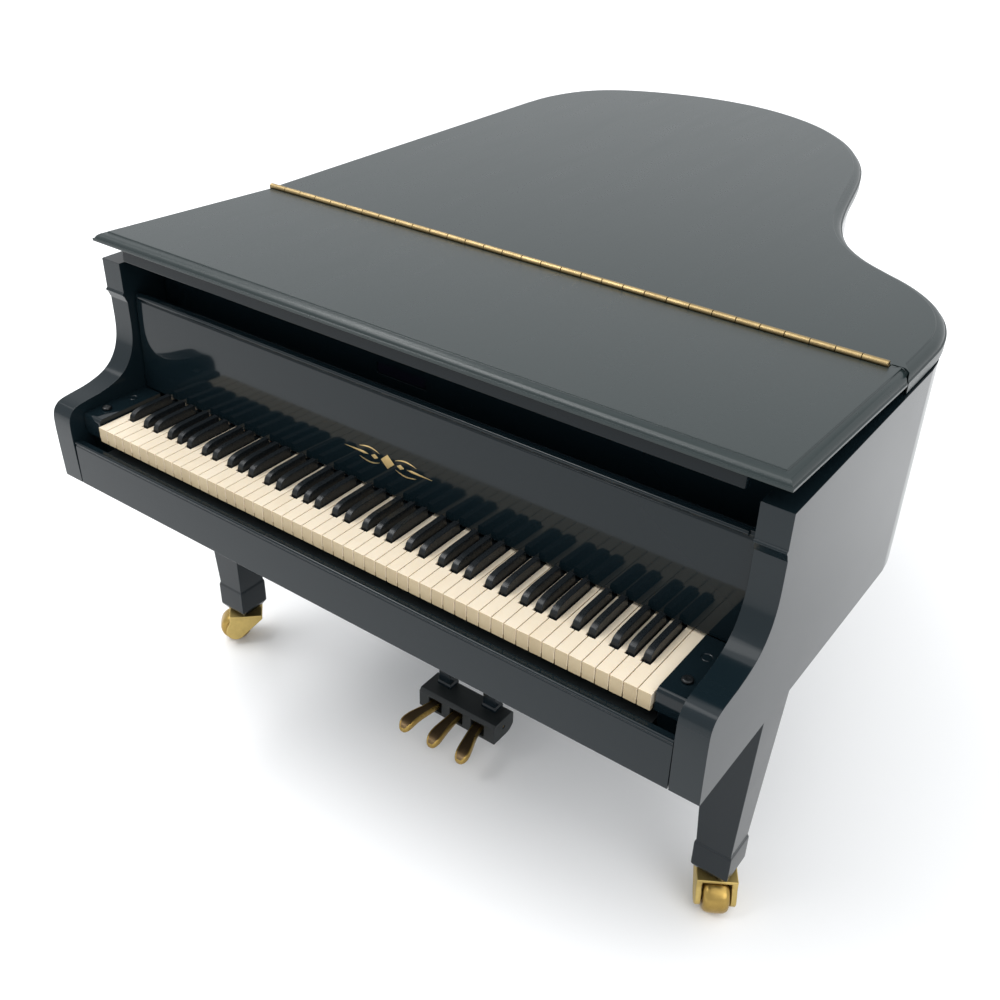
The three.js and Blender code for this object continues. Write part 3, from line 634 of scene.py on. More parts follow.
hatch = Shape()
hatch.add(box(BATT[0] + 0.3, BATT[1] - 0.3, BATT[2] + 0.3, BATT[3] - 0.3, CASE_BOTTOM + 0.1, -20.6))
hatch.add(box(-8, 8, BATT[3] - 1.2, BATT[3] + 3, -19.1, -18))
hatch.add(box(-8, 8, BATT[3] - 1.6, BATT[3] - 0.4, -21, -18))
hcuts = [Shape().add(box(-9 + 0, 9, BATT[3] - 8.0 + 1.6 * k, BATT[3] - 7.1 + 1.6 * k, -24, -22.25)) for k in range(4)]
piece("battery_hatch", boolean(hatch, hcuts), SATIN_LEG, "case", (0.25, 2), ["battery_cover"], "satin_black")

bead = [(-3.46 + 0.58 * math.cos(t), -7.42 + 0.58 * math.sin(t)) for t in [math.pi * (1.22 - 1.0 * i / 14) for i in range(15)]]
slip = Shape().add(prism([(-4.0, CASE_BOTTOM), (-4.0, -8.42), (-3.97, -8.32), (-3.86, -8.22), (-3.8, -8.1), (-3.86, -7.98)] + bead + [(-2.82, -7.1), (-1.4, -7.1), (-1.4, -9.4), (-0.4, -9.6), (-0.4, -18.9), (-0.1, -18.9), (-0.1, CASE_BOTTOM)],
                         -ARM_IN + 0.3, ARM_IN - 0.3, "x"))
piece("key_slip_rail", slip, SLIP, "case", (0.2, 2, 40), ["key_slip"], "gloss_black")
keep("key_frame", MATTE)

for name, s in (("left", -1), ("right", 1)):
    a, b = sorted((s * 104.45, s * (ARM_IN - 0.3)))
    round_top = [(1.0, -5.2), (1.0, 0.35)] + [(1.0 + 1.45 * (1 - math.cos(t)), 0.35 + 1.45 * math.sin(t)) for t in [math.pi / 2 * k / 6 for k in range(1, 7)]]
    blk = Shape().add(prism(round_top + [(26.2, 1.8), (26.2, -19.0), (3.4, -19.0), (3.4, -5.2)], a, b, "x"))
    blk = boolean(blk, [Shape().add(lathe([(1.3, 0.6), (1.3, 3)], 24, "z", (s * 109.1, 7.8, 0))),
                        Shape().add(lathe([(1.25, 1.6), (1.25, 2.4), (1.55, 2.4), (1.55, 1.6)], 28, "z", (s * 108.8, 18.3, 0), closed=True))])
    piece(f"cheek_{name}", blk, GLOSS, "case", (0.25, 2), [f"cheek_block_{name}"], "gloss_black")
    btn = Shape().add(lathe([(0.01, 0.9), (1.1, 0.9), (1.1, 2.0), (1.55, 2.05), (1.6, 2.2), (1.55, 2.45), (1.35, 2.65), (1.0, 2.75), (0.55, 2.7), (0.01, 2.62)], 28, "z", (s * 109.1, 7.8, 0)))
    piece(f"fallboard_button_{name}", btn, RUBBER, "case", None, [f"fallboard_bumper_{name}"], "bumper_rubber", soft=True)

# ------------------------------------------------------------------ keys
OCT_SHARPS = (3.7, 8.6, 15.4, 20.1, 24.7)


def white_key(shape, x0, left, right):
    g, bite, y1 = KEY_GAP / 2, SHARP_W / 2 + 0.3, SHARP_FRONT - 0.6
    xa, xb = x0 + g, x0 + KEY_PITCH - g
    pts = [(xa, 0.0), (xb, 0.0)]
    if right is not None:
        pts += [(xb, y1), (right - bite, y1), (right - bite, KEY_BACK)]
    else:
        pts += [(xb, KEY_BACK)]
    if left is not None:
        pts += [(left + bite, KEY_BACK), (left + bite, y1), (xa, y1)]
    else:
        pts += [(xa, KEY_BACK)]
    vf = prism(pts, -4.0, 0.0)
    # the front face and the lip box below take the darker cream, which is painted shade
    shape.add(vf, [1 if i == 0 else 0 for i in range(len(vf[1]))])
    shape.add(box(xa + 0.02, xb - 0.02, 0.1, 1.6, -5.3, -3.8), 1)


def sharp_key(shape, c):
    h = SHARP_W / 2
    # cross-sections along y: y, top height, inset of the top edge
    loops = []
    for y, top, inset in [(SHARP_FRONT, 0.0, 0.0), (SHARP_FRONT + 0.04, 0.35, 0.02), (9.98, 0.95, 0.05), (10.18, 1.5, 0.08), (10.48, 1.93, 0.11), (10.9, 2.27, 0.13),
                          (11.5, 2.55, 0.15), (12.3, 2.78, 0.17), (13.3, 2.95, 0.18), (14.9, SHARP_TOP, 0.2), (25.75, SHARP_TOP, 0.2), (25.9, 2.95, 0.22)]:
        t = h - inset
        mid = -0.4
        loops.append([(c - h, y, -3.2), (c + h, y, -3.2), (c + h, y, mid), (c + t, y, top - 0.16), (c + t - 0.05, y, top - 0.05), (c + t - 0.17, y, top),
                      (c - t + 0.17, y, top), (c - t + 0.05, y, top - 0.05), (c - t, y, top - 0.16), (c - h, y, mid)])
    shape.add(loft(loops))
    shape.add(prism([(25.9, -3.2), (25.9, -0.2), (32, -0.2), (32, -5.4), (28, -5.4), (28, -3.2)], c - h, c + h, "x"))


X_0 = -104.0
sets = [([(X_0, None, X_0 + 4.7), (X_0 + 4, X_0 + 4.7, None)], [X_0 + 4.7], X_0, X_0 + 8)]
for o in range(7):
    x = X_0 + 8 + 28 * o
    s = [x + d for d in OCT_SHARPS]
    bites = [(None, s[0]), (s[0], s[1]), (s[1], None), (None, s[2]), (s[2], s[3]), (s[3], s[4]), (s[4], None)]
    keys = [(x + 4 * i, l, r) for i, (l, r) in enumerate(bites)]
    xb = x + 28
    if o == 6:
        keys.append((x + 28, None, None))
        xb += 4
    sets.append((keys, s, x, xb))
for i, (keys, sharps, xa, xb) in enumerate(sets):
    w = Shape()
    for k in keys:
        white_key(w, *k)
    w.add(box(xa + 0.13, xb - 0.13, 34.2, KEY_BACK, -6.6, -3.9))
    piece(f"white_keys_set_{i}", w, [IVORY, IVORY_FRONT_SHADE], f"white_keys_{i}", (0.13, 3), [f"naturals_{i}"], "key_ivory")
    b = Shape()
    for c in sharps:
        sharp_key(b, c)
    b.add(box(sharps[0] - SHARP_W / 2, sharps[-1] + SHARP_W / 2, 28, 32, -8.6, -5.3))
    piece(f"black_keys_set_{i}", b, EBONY, f"black_keys_{i}", (0.06, 2, 40), [f"sharps_{i}"], "key_black")

# ------------------------------------------------------------------ fallboard and the panel behind it
fp = [(27.4, 0.9), (26.95, 1.4), (28.1, 32.9), (28.25, 33.05), (28.42, 33.2), (28.45, 33.4), (28.42, 33.6), (28.25, 33.8), (28.15, 34.0), (28.35, 34.8), (28.7, 35.15),
      (29.2, 35.3), (30.1, 35.25), (30.7, 34.9), (31.0, 34.3), (31.0, 30.4), (30.3, 6.5), (30.6, 3.4), (30.3, 1.4), (29.6, 0.9)]
fb = Shape().add(prism(fp, -112.6, 112.6, "x"))
fb.add(rounded_rod(0.75, -110.6, 110.6, 0.3, 28, "x", (0, 28.1, 34.6)))
for s in (-1, 1):
    a, b = sorted((s * 112.2, s * 115.8))
    fb.add(rounded_rod(1.2, a, b, 0.2, 24, "x", (0, FALL_Y, FALL_Z)))
piece("fallboard_panel", fb, GLOSS, "fallboard", (0.22, 3, 40), ["fallboard"], "gloss_black")


def on_fall(u, v, lift=0.0):
    """A point on the fallboard's front face: u along X, v up the board."""
    d = Vector((0, 28.1 - 26.95, 32.9 - 1.4)).normalized()
    n = Vector((0, -d.z, d.y))
    return tuple(Vector((u, 26.95, 1.4)) + d * v + n * lift)


def inlay_shape(shape, pts, lift0=-0.03, lift1=0.03):
    if area2(pts) < 0:
        pts = pts[::-1]
    shape.add(loft([[on_fall(u, v, lift0) for u, v in pts], [on_fall(u, v, lift1) for u, v in pts]]))


orn = Shape()
OX, OV = -2.6, 10.6
inlay_shape(orn, [(OX - 2.6, OV), (OX, OV - 2.4), (OX + 2.6, OV), (OX, OV + 2.4)])
for s in (-1, 1):
    inlay_shape(orn, [(OX + s * 3.6, OV), (OX + s * 5.0, OV - 0.85), (OX + s * 6.4, OV), (OX + s * 5.0, OV + 0.85)])
    inlay_shape(orn, [(OX + s * 7.4, OV), (OX + s * 9.4, OV - 0.42), (OX + s * 17.2, OV), (OX + s * 9.4, OV + 0.42)])
    for t in (-1, 1):
        crest = []
        for k in range(9):
            a = k / 8
            crest.append((OX + s * (3.0 + 8.0 * a), OV + t * (1.5 + 1.5 * math.sin(math.pi * a * 0.9) * (1 - 0.35 * a))))
        under = []
        for k in range(9):
            a = 1 - k / 8
            under.append((OX + s * (3.0 + 8.0 * a), OV + t * (1.5 + 1.5 * math.sin(math.pi * a * 0.9) * (1 - 0.35 * a) - 0.42 * math.sin(math.pi * a) - 0.06)))
        inlay_shape(orn, crest + under)
piece("fallboard_inlay", orn, INLAY, "fallboard", None, (), "gold_paint")

WIN = (-17.3, 1.3, 31.6, 35.2)
pan = boolean(Shape().add(box(-ARM_IN + 0.4, ARM_IN - 0.4, 40.4, 43.4, -18.9, 45.9)), [Shape().add(box(WIN[0], WIN[1], 39, 41.6, WIN[2], WIN[3]))])
piece("name_panel", pan, GLOSS, "case", (0.25, 2), ["front_panel"], "gloss_black")
keep("sensor_window", SMOKED)

desk = Shape()
desk_outline = [(-62, 51), (-62, 78)] + [(-62 + 8 * (1 - math.cos(t)), 78 + 8 * math.sin(t)) for t in [math.pi / 2 * k / 6 for k in range(1, 7)]]
desk_outline += [(-x, y) for x, y in reversed(desk_outline)]
desk_outline = [(-62, 48)] + desk_outline[0:] + [(62, 48)]
desk.add(slab(desk_outline, [1] * len(desk_outline), [(0.5, 44.4), (0.15, 44.25), (0.0, 43.9), (0.0, 43.0), (0.25, 42.6)]))
desk.add(box(-60, 60, 48.2, 50, 44.2, 45.8))
for s in (-1, 1):
    a, b = sorted((s * 44, s * 50))
    desk.add(box(a, b, 80, 85.4, 29.2, 42.8))
piece("music_desk_board", desk, GLOSS, "case", (0.25, 2), ["music_desk"], "gloss_black")

# ------------------------------------------------------------------ lid
TOP = LID_TOP
flap_edge = [(3.75, 0.0), (3.62, -0.03), (3.52, -0.12), (3.46, -0.34), (3.34, -0.44), (3.05, -0.47), (2.5, -0.55), (1.95, -0.72), (1.45, -0.98),
             (1.02, -1.32), (0.72, -1.7), (0.55, -2.05), (0.5, -2.2), (0.42, -2.24), (0.12, -2.26), (0.03, -2.32), (0.0, -2.42), (0.0, -3.0), (0.06, -3.14), (0.2, -3.2)]
main_edge = [(3.75, 0.0), (3.62, -0.02), (3.52, -0.08), (3.46, -0.2), (3.34, -0.27), (3.05, -0.30), (2.5, -0.38), (1.95, -0.55), (1.45, -0.82),
             (1.02, -1.18), (0.72, -1.6), (0.55, -2.0), (0.5, -2.2), (0.42, -2.24), (0.12, -2.26), (0.03, -2.32), (0.0, -2.42), (0.0, -5.35), (0.08, -5.55), (0.3, -5.65)]
lid_pts = [(-LID_HALF, HINGE_Y + 0.6)] + LID_CURVE + [(LID_HALF, 96.1), (120.4, 97.5), (119.5, 98.7), (118.8, 99.4), (118.0, 99.7), (114.9, 99.7), (114.9, HINGE_Y + 0.6)]
nl = len(lid_pts)
lw = [1.0] * nl
for k in (nl - 7, nl - 6, nl - 5, nl - 4, nl - 3, nl - 2, nl - 1):
    lw[k] = 0.0
lid_shape = Shape().add(slab(lid_pts, lw, [(d, TOP + z) for d, z in main_edge]))
groove = Shape().add(lathe([(1.4, HINGE_X0 - 6), (1.4, HINGE_END + 0.3)], 32, "x", (0, HINGE_Y, HINGE_Z)))
lcuts = [groove] + [Shape().add(box(-124, -116.2, y - 0.3, y + BUTT_L + 0.3, LID_BOTTOM - 1, LID_BOTTOM + 1.2)) for y, _ in BUTTS]
piece("main_lid", boolean(lid_shape, lcuts), SATIN, "lid", (0.12, 2, 50), ["lid_main"], "satin_black")

flap_pts = [(-LID_HALF, FLAP_FRONT), (-LID_HALF, HINGE_Y - 0.6), (114.9, HINGE_Y - 0.6), (114.9, 99.1), (117.6, 99.1), (118.5, 98.75), (119.2, 98.05), (120.1, 96.85), (LID_HALF, 95.5), (LID_HALF, FLAP_FRONT)]
fw = [1.0, 0, 0, 0, 0, 0, 0, 0, 1.0, 1.0]
flap_shape = Shape().add(slab(flap_pts, fw, [(d, TOP + z) for d, z in flap_edge]))
tilt = turn_x(-FLAP_TILT, HINGE_Y, HINGE_Z)
fm = boolean(flap_shape, [groove])
fmw = Matrix.Translation(world((0, HINGE_Y, HINGE_Z))) @ Matrix.Rotation(-FLAP_TILT, 4, "X") @ Matrix.Translation(-Vector(world((0, HINGE_Y, HINGE_Z))))
fm.transform(fmw)
piece("front_flap", fm, SATIN, "flap", (0.12, 2, 50), ["lid_flap"], "satin_black")
rail = Shape().add(box(-109.4, 109.4, 23.7, 26.5, 44.8, TOP - FLAP_T - 0.3), 0, tilt)
piece("flap_rail", rail, RAIL, "flap", (0.4, 3), ["lid_front_rail"], "gloss_black")


def knuckle(a, b, y, z, r_out, r_in, seg=28):
    e = 0.14
    prof = [(r_in, a + 0.02), (r_in + 0.1, a), (r_out - e, a), (r_out - 0.04, a + 0.04), (r_out, a + e), (r_out, b - e), (r_out - 0.04, b - 0.04), (r_out - e, b), (r_in + 0.1, b), (r_in, b - 0.02)]
    return lathe(prof, seg, "x", (0, y, z), closed=True)


def hinge_leaf(parity, y0, y1):
    s = Shape().add(box(HINGE_X0 + 0.2, HINGE_END - 0.2, y0, y1, 50.0, 51.6))
    for i in range(parity, KNUCKLES, 2):
        a = HINGE_X0 + i * KNUCKLE_PITCH + 0.1
        b = a + KNUCKLE_PITCH - 0.2
        s.add(knuckle(a, b, HINGE_Y, HINGE_Z, KNUCKLE_R, 0.5))
        s.add(box(a + 0.2, b - 0.2, y0, y1, 51.5, 52.3))
    return s


piece("piano_hinge_lid_side", hinge_leaf(0, HINGE_Y + 0.08, HINGE_Y + 0.36), BRASS_HINGE, "lid", None, ["hinge_main_leaf"], "brass", soft=True)
hl = Shape()
base_leaf = hinge_leaf(1, HINGE_Y - 0.36, HINGE_Y - 0.08)
hl.add((base_leaf.v, base_leaf.f), 0, tilt)
piece("piano_hinge_flap_side", hl, BRASS_HINGE, "flap", None, ["hinge_flap_leaf"], "brass", soft=True)
pin = Shape().add(rounded_rod(0.42, HINGE_X0 + 0.2, HINGE_END - 0.2, 0.1, 16, "x", (0, HINGE_Y, HINGE_Z)))
piece("piano_hinge_pin", pin, BRASS_HINGE, "lid", None, ["hinge_pin"], "brass", soft=True)

for y, tag in BUTTS:
    def barrel(a, b, r):
        return rounded_rod(r, a, b, 0.12, 20, "y", (SPINE_X, 0, SPINE_Z))
    r = Shape()
    r.add(box(-120.0, -116.6, y, y + BUTT_L, RIM_TOP - 0.9, RIM_TOP - 0.2))
    r.add(box(-121.3, -119.9, y, y + 4.8, RIM_TOP - 0.9, RIM_TOP - 0.2))
    r.add(box(-121.3, -119.9, y + 11.2, y + BUTT_L, RIM_TOP - 0.9, RIM_TOP - 0.2))
    r.add(barrel(y, y + 4.8, 0.8)).add(barrel(y + 11.2, y + BUTT_L, 0.8)).add(barrel(y + 0.2, y + BUTT_L - 0.2, 0.36))
    piece(f"butt_hinge_{tag}_rim_side", r, BRASS, "case", (0.08, 2, 50), [f"butt_hinge_{tag}_rim_leaf"], "brass", soft=True)
    l = Shape()
    l.add(box(-119.9, -116.6, y, y + BUTT_L, LID_BOTTOM + 0.2, LID_BOTTOM + 0.9))
    l.add(box(-121.0, -119.8, y + 5.1, y + 10.9, LID_BOTTOM + 0.2, LID_BOTTOM + 0.55))
    l.add(lathe([(0.44, y + 5.1), (0.8, y + 5.1), (0.8, y + 10.9), (0.44, y + 10.9)], 20, "y", (SPINE_X, 0, SPINE_Z), closed=True))
    piece(f"butt_hinge_{tag}_lid_side", l, BRASS, "lid", (0.08, 2, 50), [f"butt_hinge_{tag}_lid_leaf"], "brass", soft=True)

# ------------------------------------------------------------------ inside
a, b = Vector((93, 112)), Vector((36, 204))
d = (b - a).normalized()
n2 = Vector((-d.y, d.x)) * 1.6
prop = Shape().add(prism([tuple(a + n2), tuple(a - n2), tuple(b - n2 * 0.7), tuple(b + n2 * 0.7)], 30.4, 33.6))
prop.add(rounded_rod(2.6, 28.8, 34.0, 0.3, 24, "z", (a.x, a.y, 0)))
prop.add(rounded_rod(2.0, 28.8, 30.6, 0.2, 20, "z", (b.x + 2, b.y - 3.6, 0)))
piece("lid_prop_stick", prop, GLOSS, "case", (0.3, 3, 40), ["lid_prop"], "gloss_black")

piece("soundboard_panel", Shape().add(prism(from_y(inside_run(0.5), 46), 20.0, 22.0)), SPRUCE, "case", (0.15, 2), ["soundboard"], "spruce")
plate = Shape().add(prism(from_y(inside_run(0.9), 46.5), 25.4, 28.4))
BAYS = [
    [(-106, 124), (-82, 124), (-74, 210), (-76, 268), (-90, 290), (-102, 272), (-106, 250)],
    [(-76, 124), (-52, 124), (-42, 210), (-42, 290), (-50, 308), (-62, 304), (-70, 280), (-68, 210)],
    [(-46, 124), (-22, 124), (-10, 210), (-10, 280), (-22, 304), (-34, 308), (-36, 290), (-36, 210)],
    [(-16, 124), (8, 124), (20, 200), (22, 240), (12, 268), (-4, 284), (-4, 210)],
    [(14, 124), (38, 124), (42, 170), (36, 205), (27, 226), (26, 200)],
    [(44, 124), (68, 124), (68, 148), (58, 166), (48, 180)],
    [(74, 124), (98, 124), (98, 142), (86, 148), (74, 156)]]


def rounded_poly(pts, r, seg=4):
    out = []
    n = len(pts)
    for i in range(n):
        p, a, b = Vector(pts[i]), Vector(pts[i - 1]), Vector(pts[(i + 1) % n])
        u, v = (a - p).normalized(), (b - p).normalized()
        ang = math.acos(max(-1, min(1, u.dot(v))))
        t = min(r / math.tan(ang / 2), 0.45 * (a - p).length, 0.45 * (b - p).length)
        rr = t * math.tan(ang / 2)
        p1, p2 = p + u * t, p + v * t
        c = p + (u + v).normalized() * (rr / math.sin(ang / 2))
        a1 = math.atan2(p1.y - c.y, p1.x - c.x)
        a2 = math.atan2(p2.y - c.y, p2.x - c.x)
        da = (a2 - a1 + math.pi) % (2 * math.pi) - math.pi
        for k in range(seg + 1):
            t2 = a1 + da * k / seg
            out.append((c.x + rr * math.cos(t2), c.y + rr * math.sin(t2)))
    return out


pcuts = [Shape().add(prism(rounded_poly(bay, 5.0), 20, 32)) for bay in BAYS]
piece("gold_plate", boolean(plate, pcuts), GOLDPAINT, "case", (0.5, 3, 40), ["iron_frame"], "gold_paint")

INNER_POLY = from_y(inside_run(9.0), 46)


def inside(x, y):
    hit = False
    n = len(INNER_POLY)
    for i in range(n):
        (x1, y1), (x2, y2) = INNER_POLY[i], INNER_POLY[(i + 1) % n]
        if (y1 > y) != (y2 > y) and x < (x2 - x1) * (y - y1) / (y2 - y1) + x1:
            hit = not hit
    return hit


def wire(shape, p, q, r, seg=6):
    p, q = Vector(p), Vector(q)
    d = (q - p).normalized()
    u = d.cross(Vector((0, 0, 1))).normalized()
    w = d.cross(u)
    ring = lambda c: [tuple(c + u * (r * math.cos(2 * math.pi * k / seg)) + w * (r * math.sin(2 * math.pi * k / seg))) for k in range(seg)]
    shape.add(loft([ring(p), ring(q)]))


steel, copper, pins = Shape(), Shape(), Shape()


def pin_at(x, y, h=31.4):
    pins.add(rounded_rod(0.42, 28.3, h, 0.1, 10, "z", (x, y, 0)))


for i in range(56):
    x = -38.0 + i * 2.5
    row = i % 2
    y0 = 102.0 + 4.0 * row
    lean = -0.10
    L = 0.0
    while inside(x + lean * L, y0 + L + 2) and L < 230:
        L += 1.0
    if L < 20:
        continue
    wire(steel, (x, y0, 29.9), (x + lean * L, y0 + L, 29.3), 0.11)
    pin_at(x, y0)
    pins.add(rounded_rod(0.35, 28.3, 29.9, 0.08, 8, "z", (x + lean * L, y0 + L, 0)))
for i in range(24):
    x = -104.0 + i * 2.7
    y0 = 102.0 + 4.0 * (i % 2)
    lean = 0.26
    L = 0.0
    while inside(x + lean * L, y0 + L + 2) and L < 230:
        L += 1.0
    L -= 6 + 4 * (i % 2)
    wire(copper, (x, y0, 30.6), (x + lean * L, y0 + L, 30.6), 0.22)
    pin_at(x, y0, 32.0)
    pins.add(rounded_rod(0.4, 28.3, 31.3, 0.08, 8, "z", (x + lean * L, y0 + L, 0)))
piece("treble_strings", steel, STEEL, "case", None, (), "brass", soft=True)
piece("bass_strings", copper, COPPER, "case", None, (), "brass", soft=True)
piece("tuning_pins", pins, STEEL, "case", None, (), "brass", soft=True)
strip = Shape().add(box(-108, 104, 114.0, 117.5, 28.45, 29.15))
piece("string_felt", strip, RED_FELT, "case", (0.25, 2), (), "bumper_rubber")

spk = [(0.01, -18.6), (13, -18.6), (13.3, -18.2), (13.3, -12.6), (14, -12), (26, -3.4), (30, -3.0), (30, -0.6), (29.4, -0.3), (27.6, -0.1), (27, -0.2), (26.2, 0.0), (25.0, -0.3), (24.0, -1.2),
       (22.6, -2.0), (22, -2.4), (10, -8), (9, -7.4), (6, -6.0), (3, -5.2), (0.01, -5.0)]
piece("speaker_unit", Shape().add(lathe(spk, 48, "z", (-45, 225, 0))), CONE, "case", None, ["speaker"], "matte_black", soft=True)

# ------------------------------------------------------------------ legs and casters
LEGS = (("front_left", -LEG_X, LEG_Y, -45.0), ("front_right", LEG_X, LEG_Y, 32.0), ("rear", REAR_LEG[0], REAR_LEG[1], 20.0))
for tag, x, y, turn in LEGS:
    secs = [(LEG_END, 4.65), (LEG_END + 3.0, 6.45), (-98.0, 6.45), (-97.2, 6.28), (-96.6, 6.05), (LEG_TOP, 9.2)]
    loops = [[(x - h, y - h, z), (x + h, y - h, z), (x + h, y + h, z), (x - h, y + h, z)] for z, h in secs]
    leg = boolean(Shape().add(loft(loops)), [Shape().add(lathe([(1.58, LEG_END - 1), (1.58, LEG_END + 8)], 24, "z", (x, y, 0)))])
    piece(f"leg_{tag}_post", leg, SATIN_LEG, "case", (0.35, 3), [f"leg_{tag}"], "gloss_black")

    xf = spin_z(turn, x, y)
    az, zt, back, front = FLOOR + WHEEL_R, LEG_END - 0.3, 7.0, -6.2
    zp = zt - 1.2
    side = [(back, zp + 0.2), (front, zp + 0.2), (front, zp - 1.4), (front - 0.15, zp - 2.1), (-6.7, zp - 2.9), (-7.4, zp - 4.0)]
    for i in range(17):
        a_ = math.pi * (0.99 + 0.85 * i / 16)
        side.append((-TRAIL + 3.8 * math.cos(a_), az + 3.8 * math.sin(a_)))
    side += [(back - 0.5, zp - 1.2), (back - 0.12, zp - 0.85), (back, zp - 0.4)]
    inn, out_ = WHEEL_W / 2 + 0.4, WHEEL_W / 2 + 2.3
    top_plate = [(-out_, back), (-out_, front), (out_, front), (out_, back)]
    f = Shape()
    f.add(prism(top_plate, zp, zt), 0, xf)
    f.add(prism(side, -out_, -inn, "x"), 0, xf)
    f.add(prism(side, inn, out_, "x"), 0, xf)
    f.add(rounded_rod(1.0, -out_ + 0.2, out_ - 0.2, 0.1, 24, "x", (0, -TRAIL, az)), 0, xf)
    f.add(rounded_rod(1.5, zt - 0.4, LEG_END + 7.5, 0.2, 24, "z"), 0, xf)
    piece(f"caster_fork_{tag}_body", f, BRASS_FORK, f"caster_{tag}", (0.35, 4, 40), [f"caster_fork_{tag}"], "brass")
    h, r = WHEEL_W / 2, WHEEL_R
    half = [(1.08, h - 0.3), (2.2, h - 0.3), (2.45, h - 0.12), (2.7, h), (r - 2.0, h), (r - 1.65, h - 0.05), (r - 1.3, h - 0.17), (r - 0.95, h - 0.38), (r - 0.65, h - 0.67),
            (r - 0.42, h - 1.02), (r - 0.25, h - 1.4), (r - 0.13, h - 1.85), (r - 0.05, h - 2.5), (r - 0.01, h - 3.3)]
    prof = [(a_, -b_) for a_, b_ in half] + [(r, 0.0)] + [(a_, b_) for a_, b_ in reversed(half)]
    wv = lathe(prof, 56, "x", (0, -TRAIL, az), closed=True)
    piece(f"caster_wheel_{tag}_drum", Shape().add(wv, 0, xf), BRASS, f"wheel_{tag}", None, [f"caster_wheel_{tag}"], "brass", soft=True)

# ------------------------------------------------------------------ pedal lyre
lp = [(57.2, -114.9), (56.9, -114.4), (56.9, -107.6), (58.1, -106.3), (68.0, -106.3), (69.0, -107.4), (69.0, -111.9), (68.75, -112.7), (68.3, -113.3), (67.5, -114.0), (66.6, -114.5), (65.5, -114.82), (64.4, -114.9)]
lb = Shape().add(prism(lp, -LYRE_HALF, LYRE_HALF, "x"))
lcut = [Shape().add(box(k * PED_ROOT - 2.9, k * PED_ROOT + 2.9, 50, 66.4, -113.4, -108.2)) for k in (-1, 0, 1)]
lcut.append(Shape().add(lathe([(0.7, -30), (0.7, 30)], 20, "x", (0, PEDAL_AXIS[0], PEDAL_AXIS[1]))))
piece("lyre_base", boolean(lb, lcut), MATTE, "case", (0.3, 3), ["lyre_box"], "matte_black")
piece("pedal_axle_rod", Shape().add(rounded_rod(0.6, -LYRE_HALF + 0.4, LYRE_HALF - 0.4, 0.1, 20, "x", (0, PEDAL_AXIS[0], PEDAL_AXIS[1]))), BRASS, "case", None, ["pedal_axle"], "brass", soft=True)
for tag, s in (("left", -1), ("right", 1)):
    secs = [(-106.0, 3.2, 2.6), (-104.6, 3.2, 2.6), (-104.2, 2.7, 2.2), (-26.0, 2.7, 2.2), (-25.4, 3.2, 2.6), (CASE_BOTTOM - 0.2, 3.2, 2.6)]
    loops = [[(s * 10.3 - hx, 65.4 - hy, z), (s * 10.3 + hx, 65.4 - hy, z), (s * 10.3 + hx, 65.4 + hy, z), (s * 10.3 - hx, 65.4 + hy, z)] for z, hx, hy in secs]
    piece(f"lyre_post_{tag}_bar", Shape().add(loft(loops)), SATIN_LEG, "case", (0.3, 3), [f"lyre_post_{tag}"], "gloss_black")


def pedal_section(k, t):
    """Centre line of a pedal at t = 0 (root) to 1 (toe): returns x and y."""
    y = 65.4 - 24.0 * t
    lean = ease((t - 0.25) / 0.75)
    xc = k * (PED_ROOT + (PED_TIP - PED_ROOT) * lean)
    return xc, y


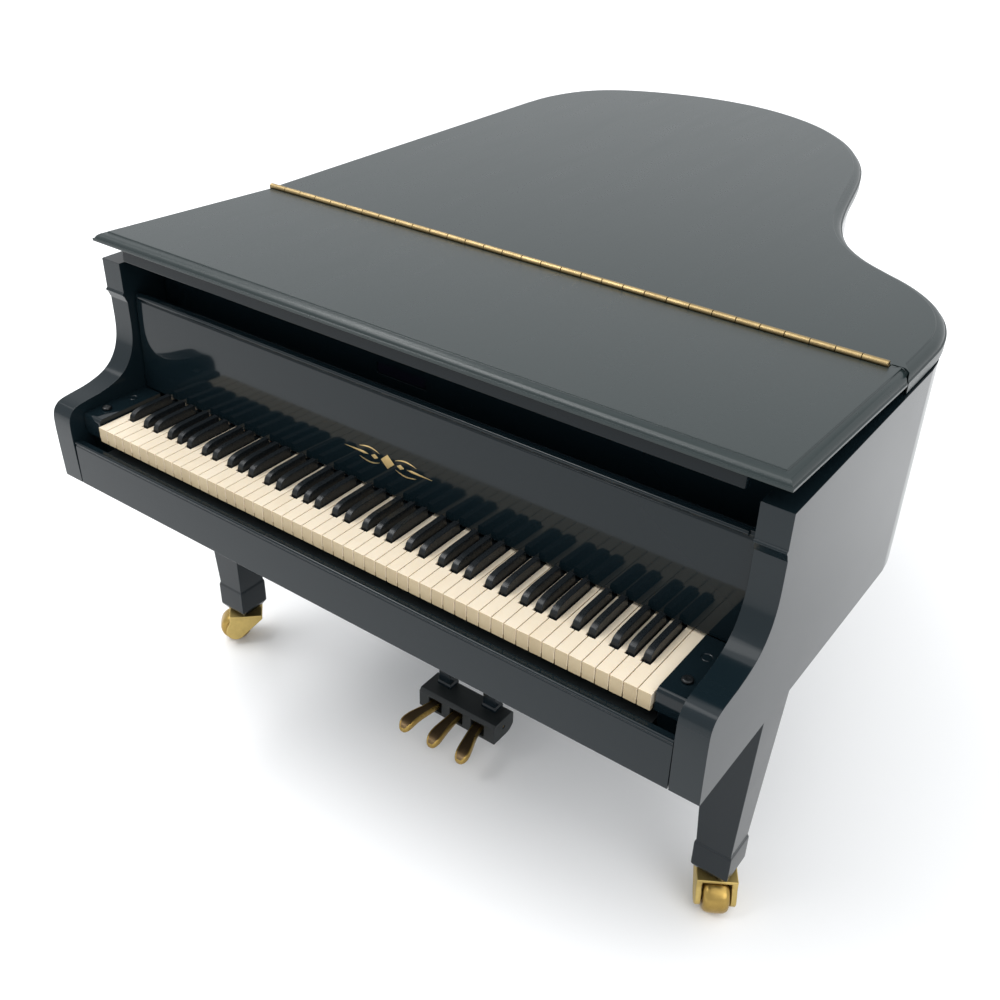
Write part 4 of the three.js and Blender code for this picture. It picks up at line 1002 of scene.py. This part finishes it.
for tag, k in (("left", -1), ("middle", 0), ("right", 1)):
    rows = []
    stations = [(65.4, 2.0, -111.6, -109.2), (60.0, 2.0, -111.6, -109.25), (56.0, 2.0, -111.6, -109.3), (53.0, 2.12, -111.75, -109.36), (50.0, 2.38, -111.92, -109.48),
                (47.5, 2.62, -112.25, -109.75), (45.4, 2.74, -112.8, -110.2), (44.0, 2.66, -113.3, -110.7), (43.0, 2.4, -113.7, -111.25), (42.3, 2.05, -114.0, -111.85),
                (41.8, 1.55, -114.2, -112.5), (41.5, 0.9, -114.3, -113.1)]
    shape = Shape()
    loops = []
    for y, hw, zb, zt_ in stations:
        t = (65.4 - y) / 24.0
        lean = ease((t - 0.3) / 0.65)
        xc = k * (PED_ROOT + (PED_TIP - PED_ROOT) * lean)
        e = min(0.75, hw * 0.45)
        zm = zt_ - min(0.8, (zt_ - zb) * 0.4)
        rim_in = max(hw - 0.62, hw * 0.3)
        loops.append([(xc - hw + 0.3, y, zb), (xc + hw - 0.3, y, zb), (xc + hw, y, zb + 0.35), (xc + hw, y, zm), (xc + hw - 0.18, y, zt_ - 0.12), (xc + hw - 0.42, y, zt_),
                      (xc + rim_in - 0.02, y, zt_), (xc + rim_in * 0.93, y, zt_ - 0.1), (xc - rim_in * 0.93, y, zt_ - 0.1), (xc - rim_in + 0.02, y, zt_),
                      (xc - hw + 0.42, y, zt_), (xc - hw + 0.18, y, zt_ - 0.12), (xc - hw, y, zm), (xc - hw, y, zb + 0.35)])
    verts, faces = loft(loops)
    n = 14
    mats = []
    for fi, fc in enumerate(faces):
        mats.append(1 if fi < (len(loops) - 1) * n and (fi % n) == 7 and (fi // n) < len(loops) - 2 else 0)
    shape.add((verts, faces), mats)
    m = boolean(shape, [Shape().add(lathe([(0.68, -30), (0.68, 30)], 20, "x", (0, PEDAL_AXIS[0], PEDAL_AXIS[1])))])
    piece(f"pedal_{tag}_lever", m, [BRASS, BRONZE], f"pedal_{tag}", None, [f"pedal_{tag}"], "brass", soft=True)

# ------------------------------------------------------------------ floor and light
floor_me = bpy.data.meshes.new("floor")
n = 24
R = 6.0
fv = [(0, 0, 0)] + [(R * math.cos(2 * math.pi * k / n), R * math.sin(2 * math.pi * k / n), 0) for k in range(n)]
floor_me.from_pydata([(x, y, z - 0.0002) for x, y, z in fv], [], [(0, 1 + k, 1 + (k + 1) % n) for k in range(n)])
floor = bpy.data.objects.new("floor", floor_me)
bpy.context.scene.collection.objects.link(floor)
fm_ = Mat("pale_floor")
fm_.set(Base_Color=(0.93, 0.93, 0.93, 1.0), Roughness=0.75, IOR=1.3)
floor_me.materials.append(fm_.m)

w = bpy.data.worlds.new("studio")
bpy.context.scene.world = w
w.use_nodes = True
w.node_tree.nodes["Background"].inputs[0].default_value = (0.96, 0.98, 1.0, 1.0)
w.node_tree.nodes["Background"].inputs[1].default_value = 0.92


def area(name, loc, target, size, power, color=(1, 1, 1), size_y=None):
    l = bpy.data.lights.new(name, "AREA")
    l.shape = "RECTANGLE" if size_y else "SQUARE"
    l.size = size
    if size_y:
        l.size_y = size_y
    l.energy, l.color = power, color
    o = bpy.data.objects.new(name, l)
    o.location = loc
    o.rotation_mode = "QUATERNION"
    o.rotation_quaternion = (Vector(target) - Vector(loc)).to_track_quat("-Z", "Y")
    bpy.context.scene.collection.objects.link(o)
    return o


area("key_light", (-0.8, -0.6, 1.6), (0, 0, 0.1), 1.2, 9.0)
area("fill_light", (1.3, -0.5, 0.9), (0, 0, 0.1), 1.0, 6.0)
area("back_light", (-1.15, 1.55, 1.35), (0, 0.05, 0.17), 2.0, 1.1)
area("top_light", (0.35, -0.15, 2.0), (0, 0, 0.1), 2.2, 14.0)
area("strip_light", (-0.95, -0.32, 1.55), (0, -0.1, 0.1), 2.4, 14.0, (1, 1, 1), 0.22)

bpy.context.scene.view_settings.view_transform = "Standard"
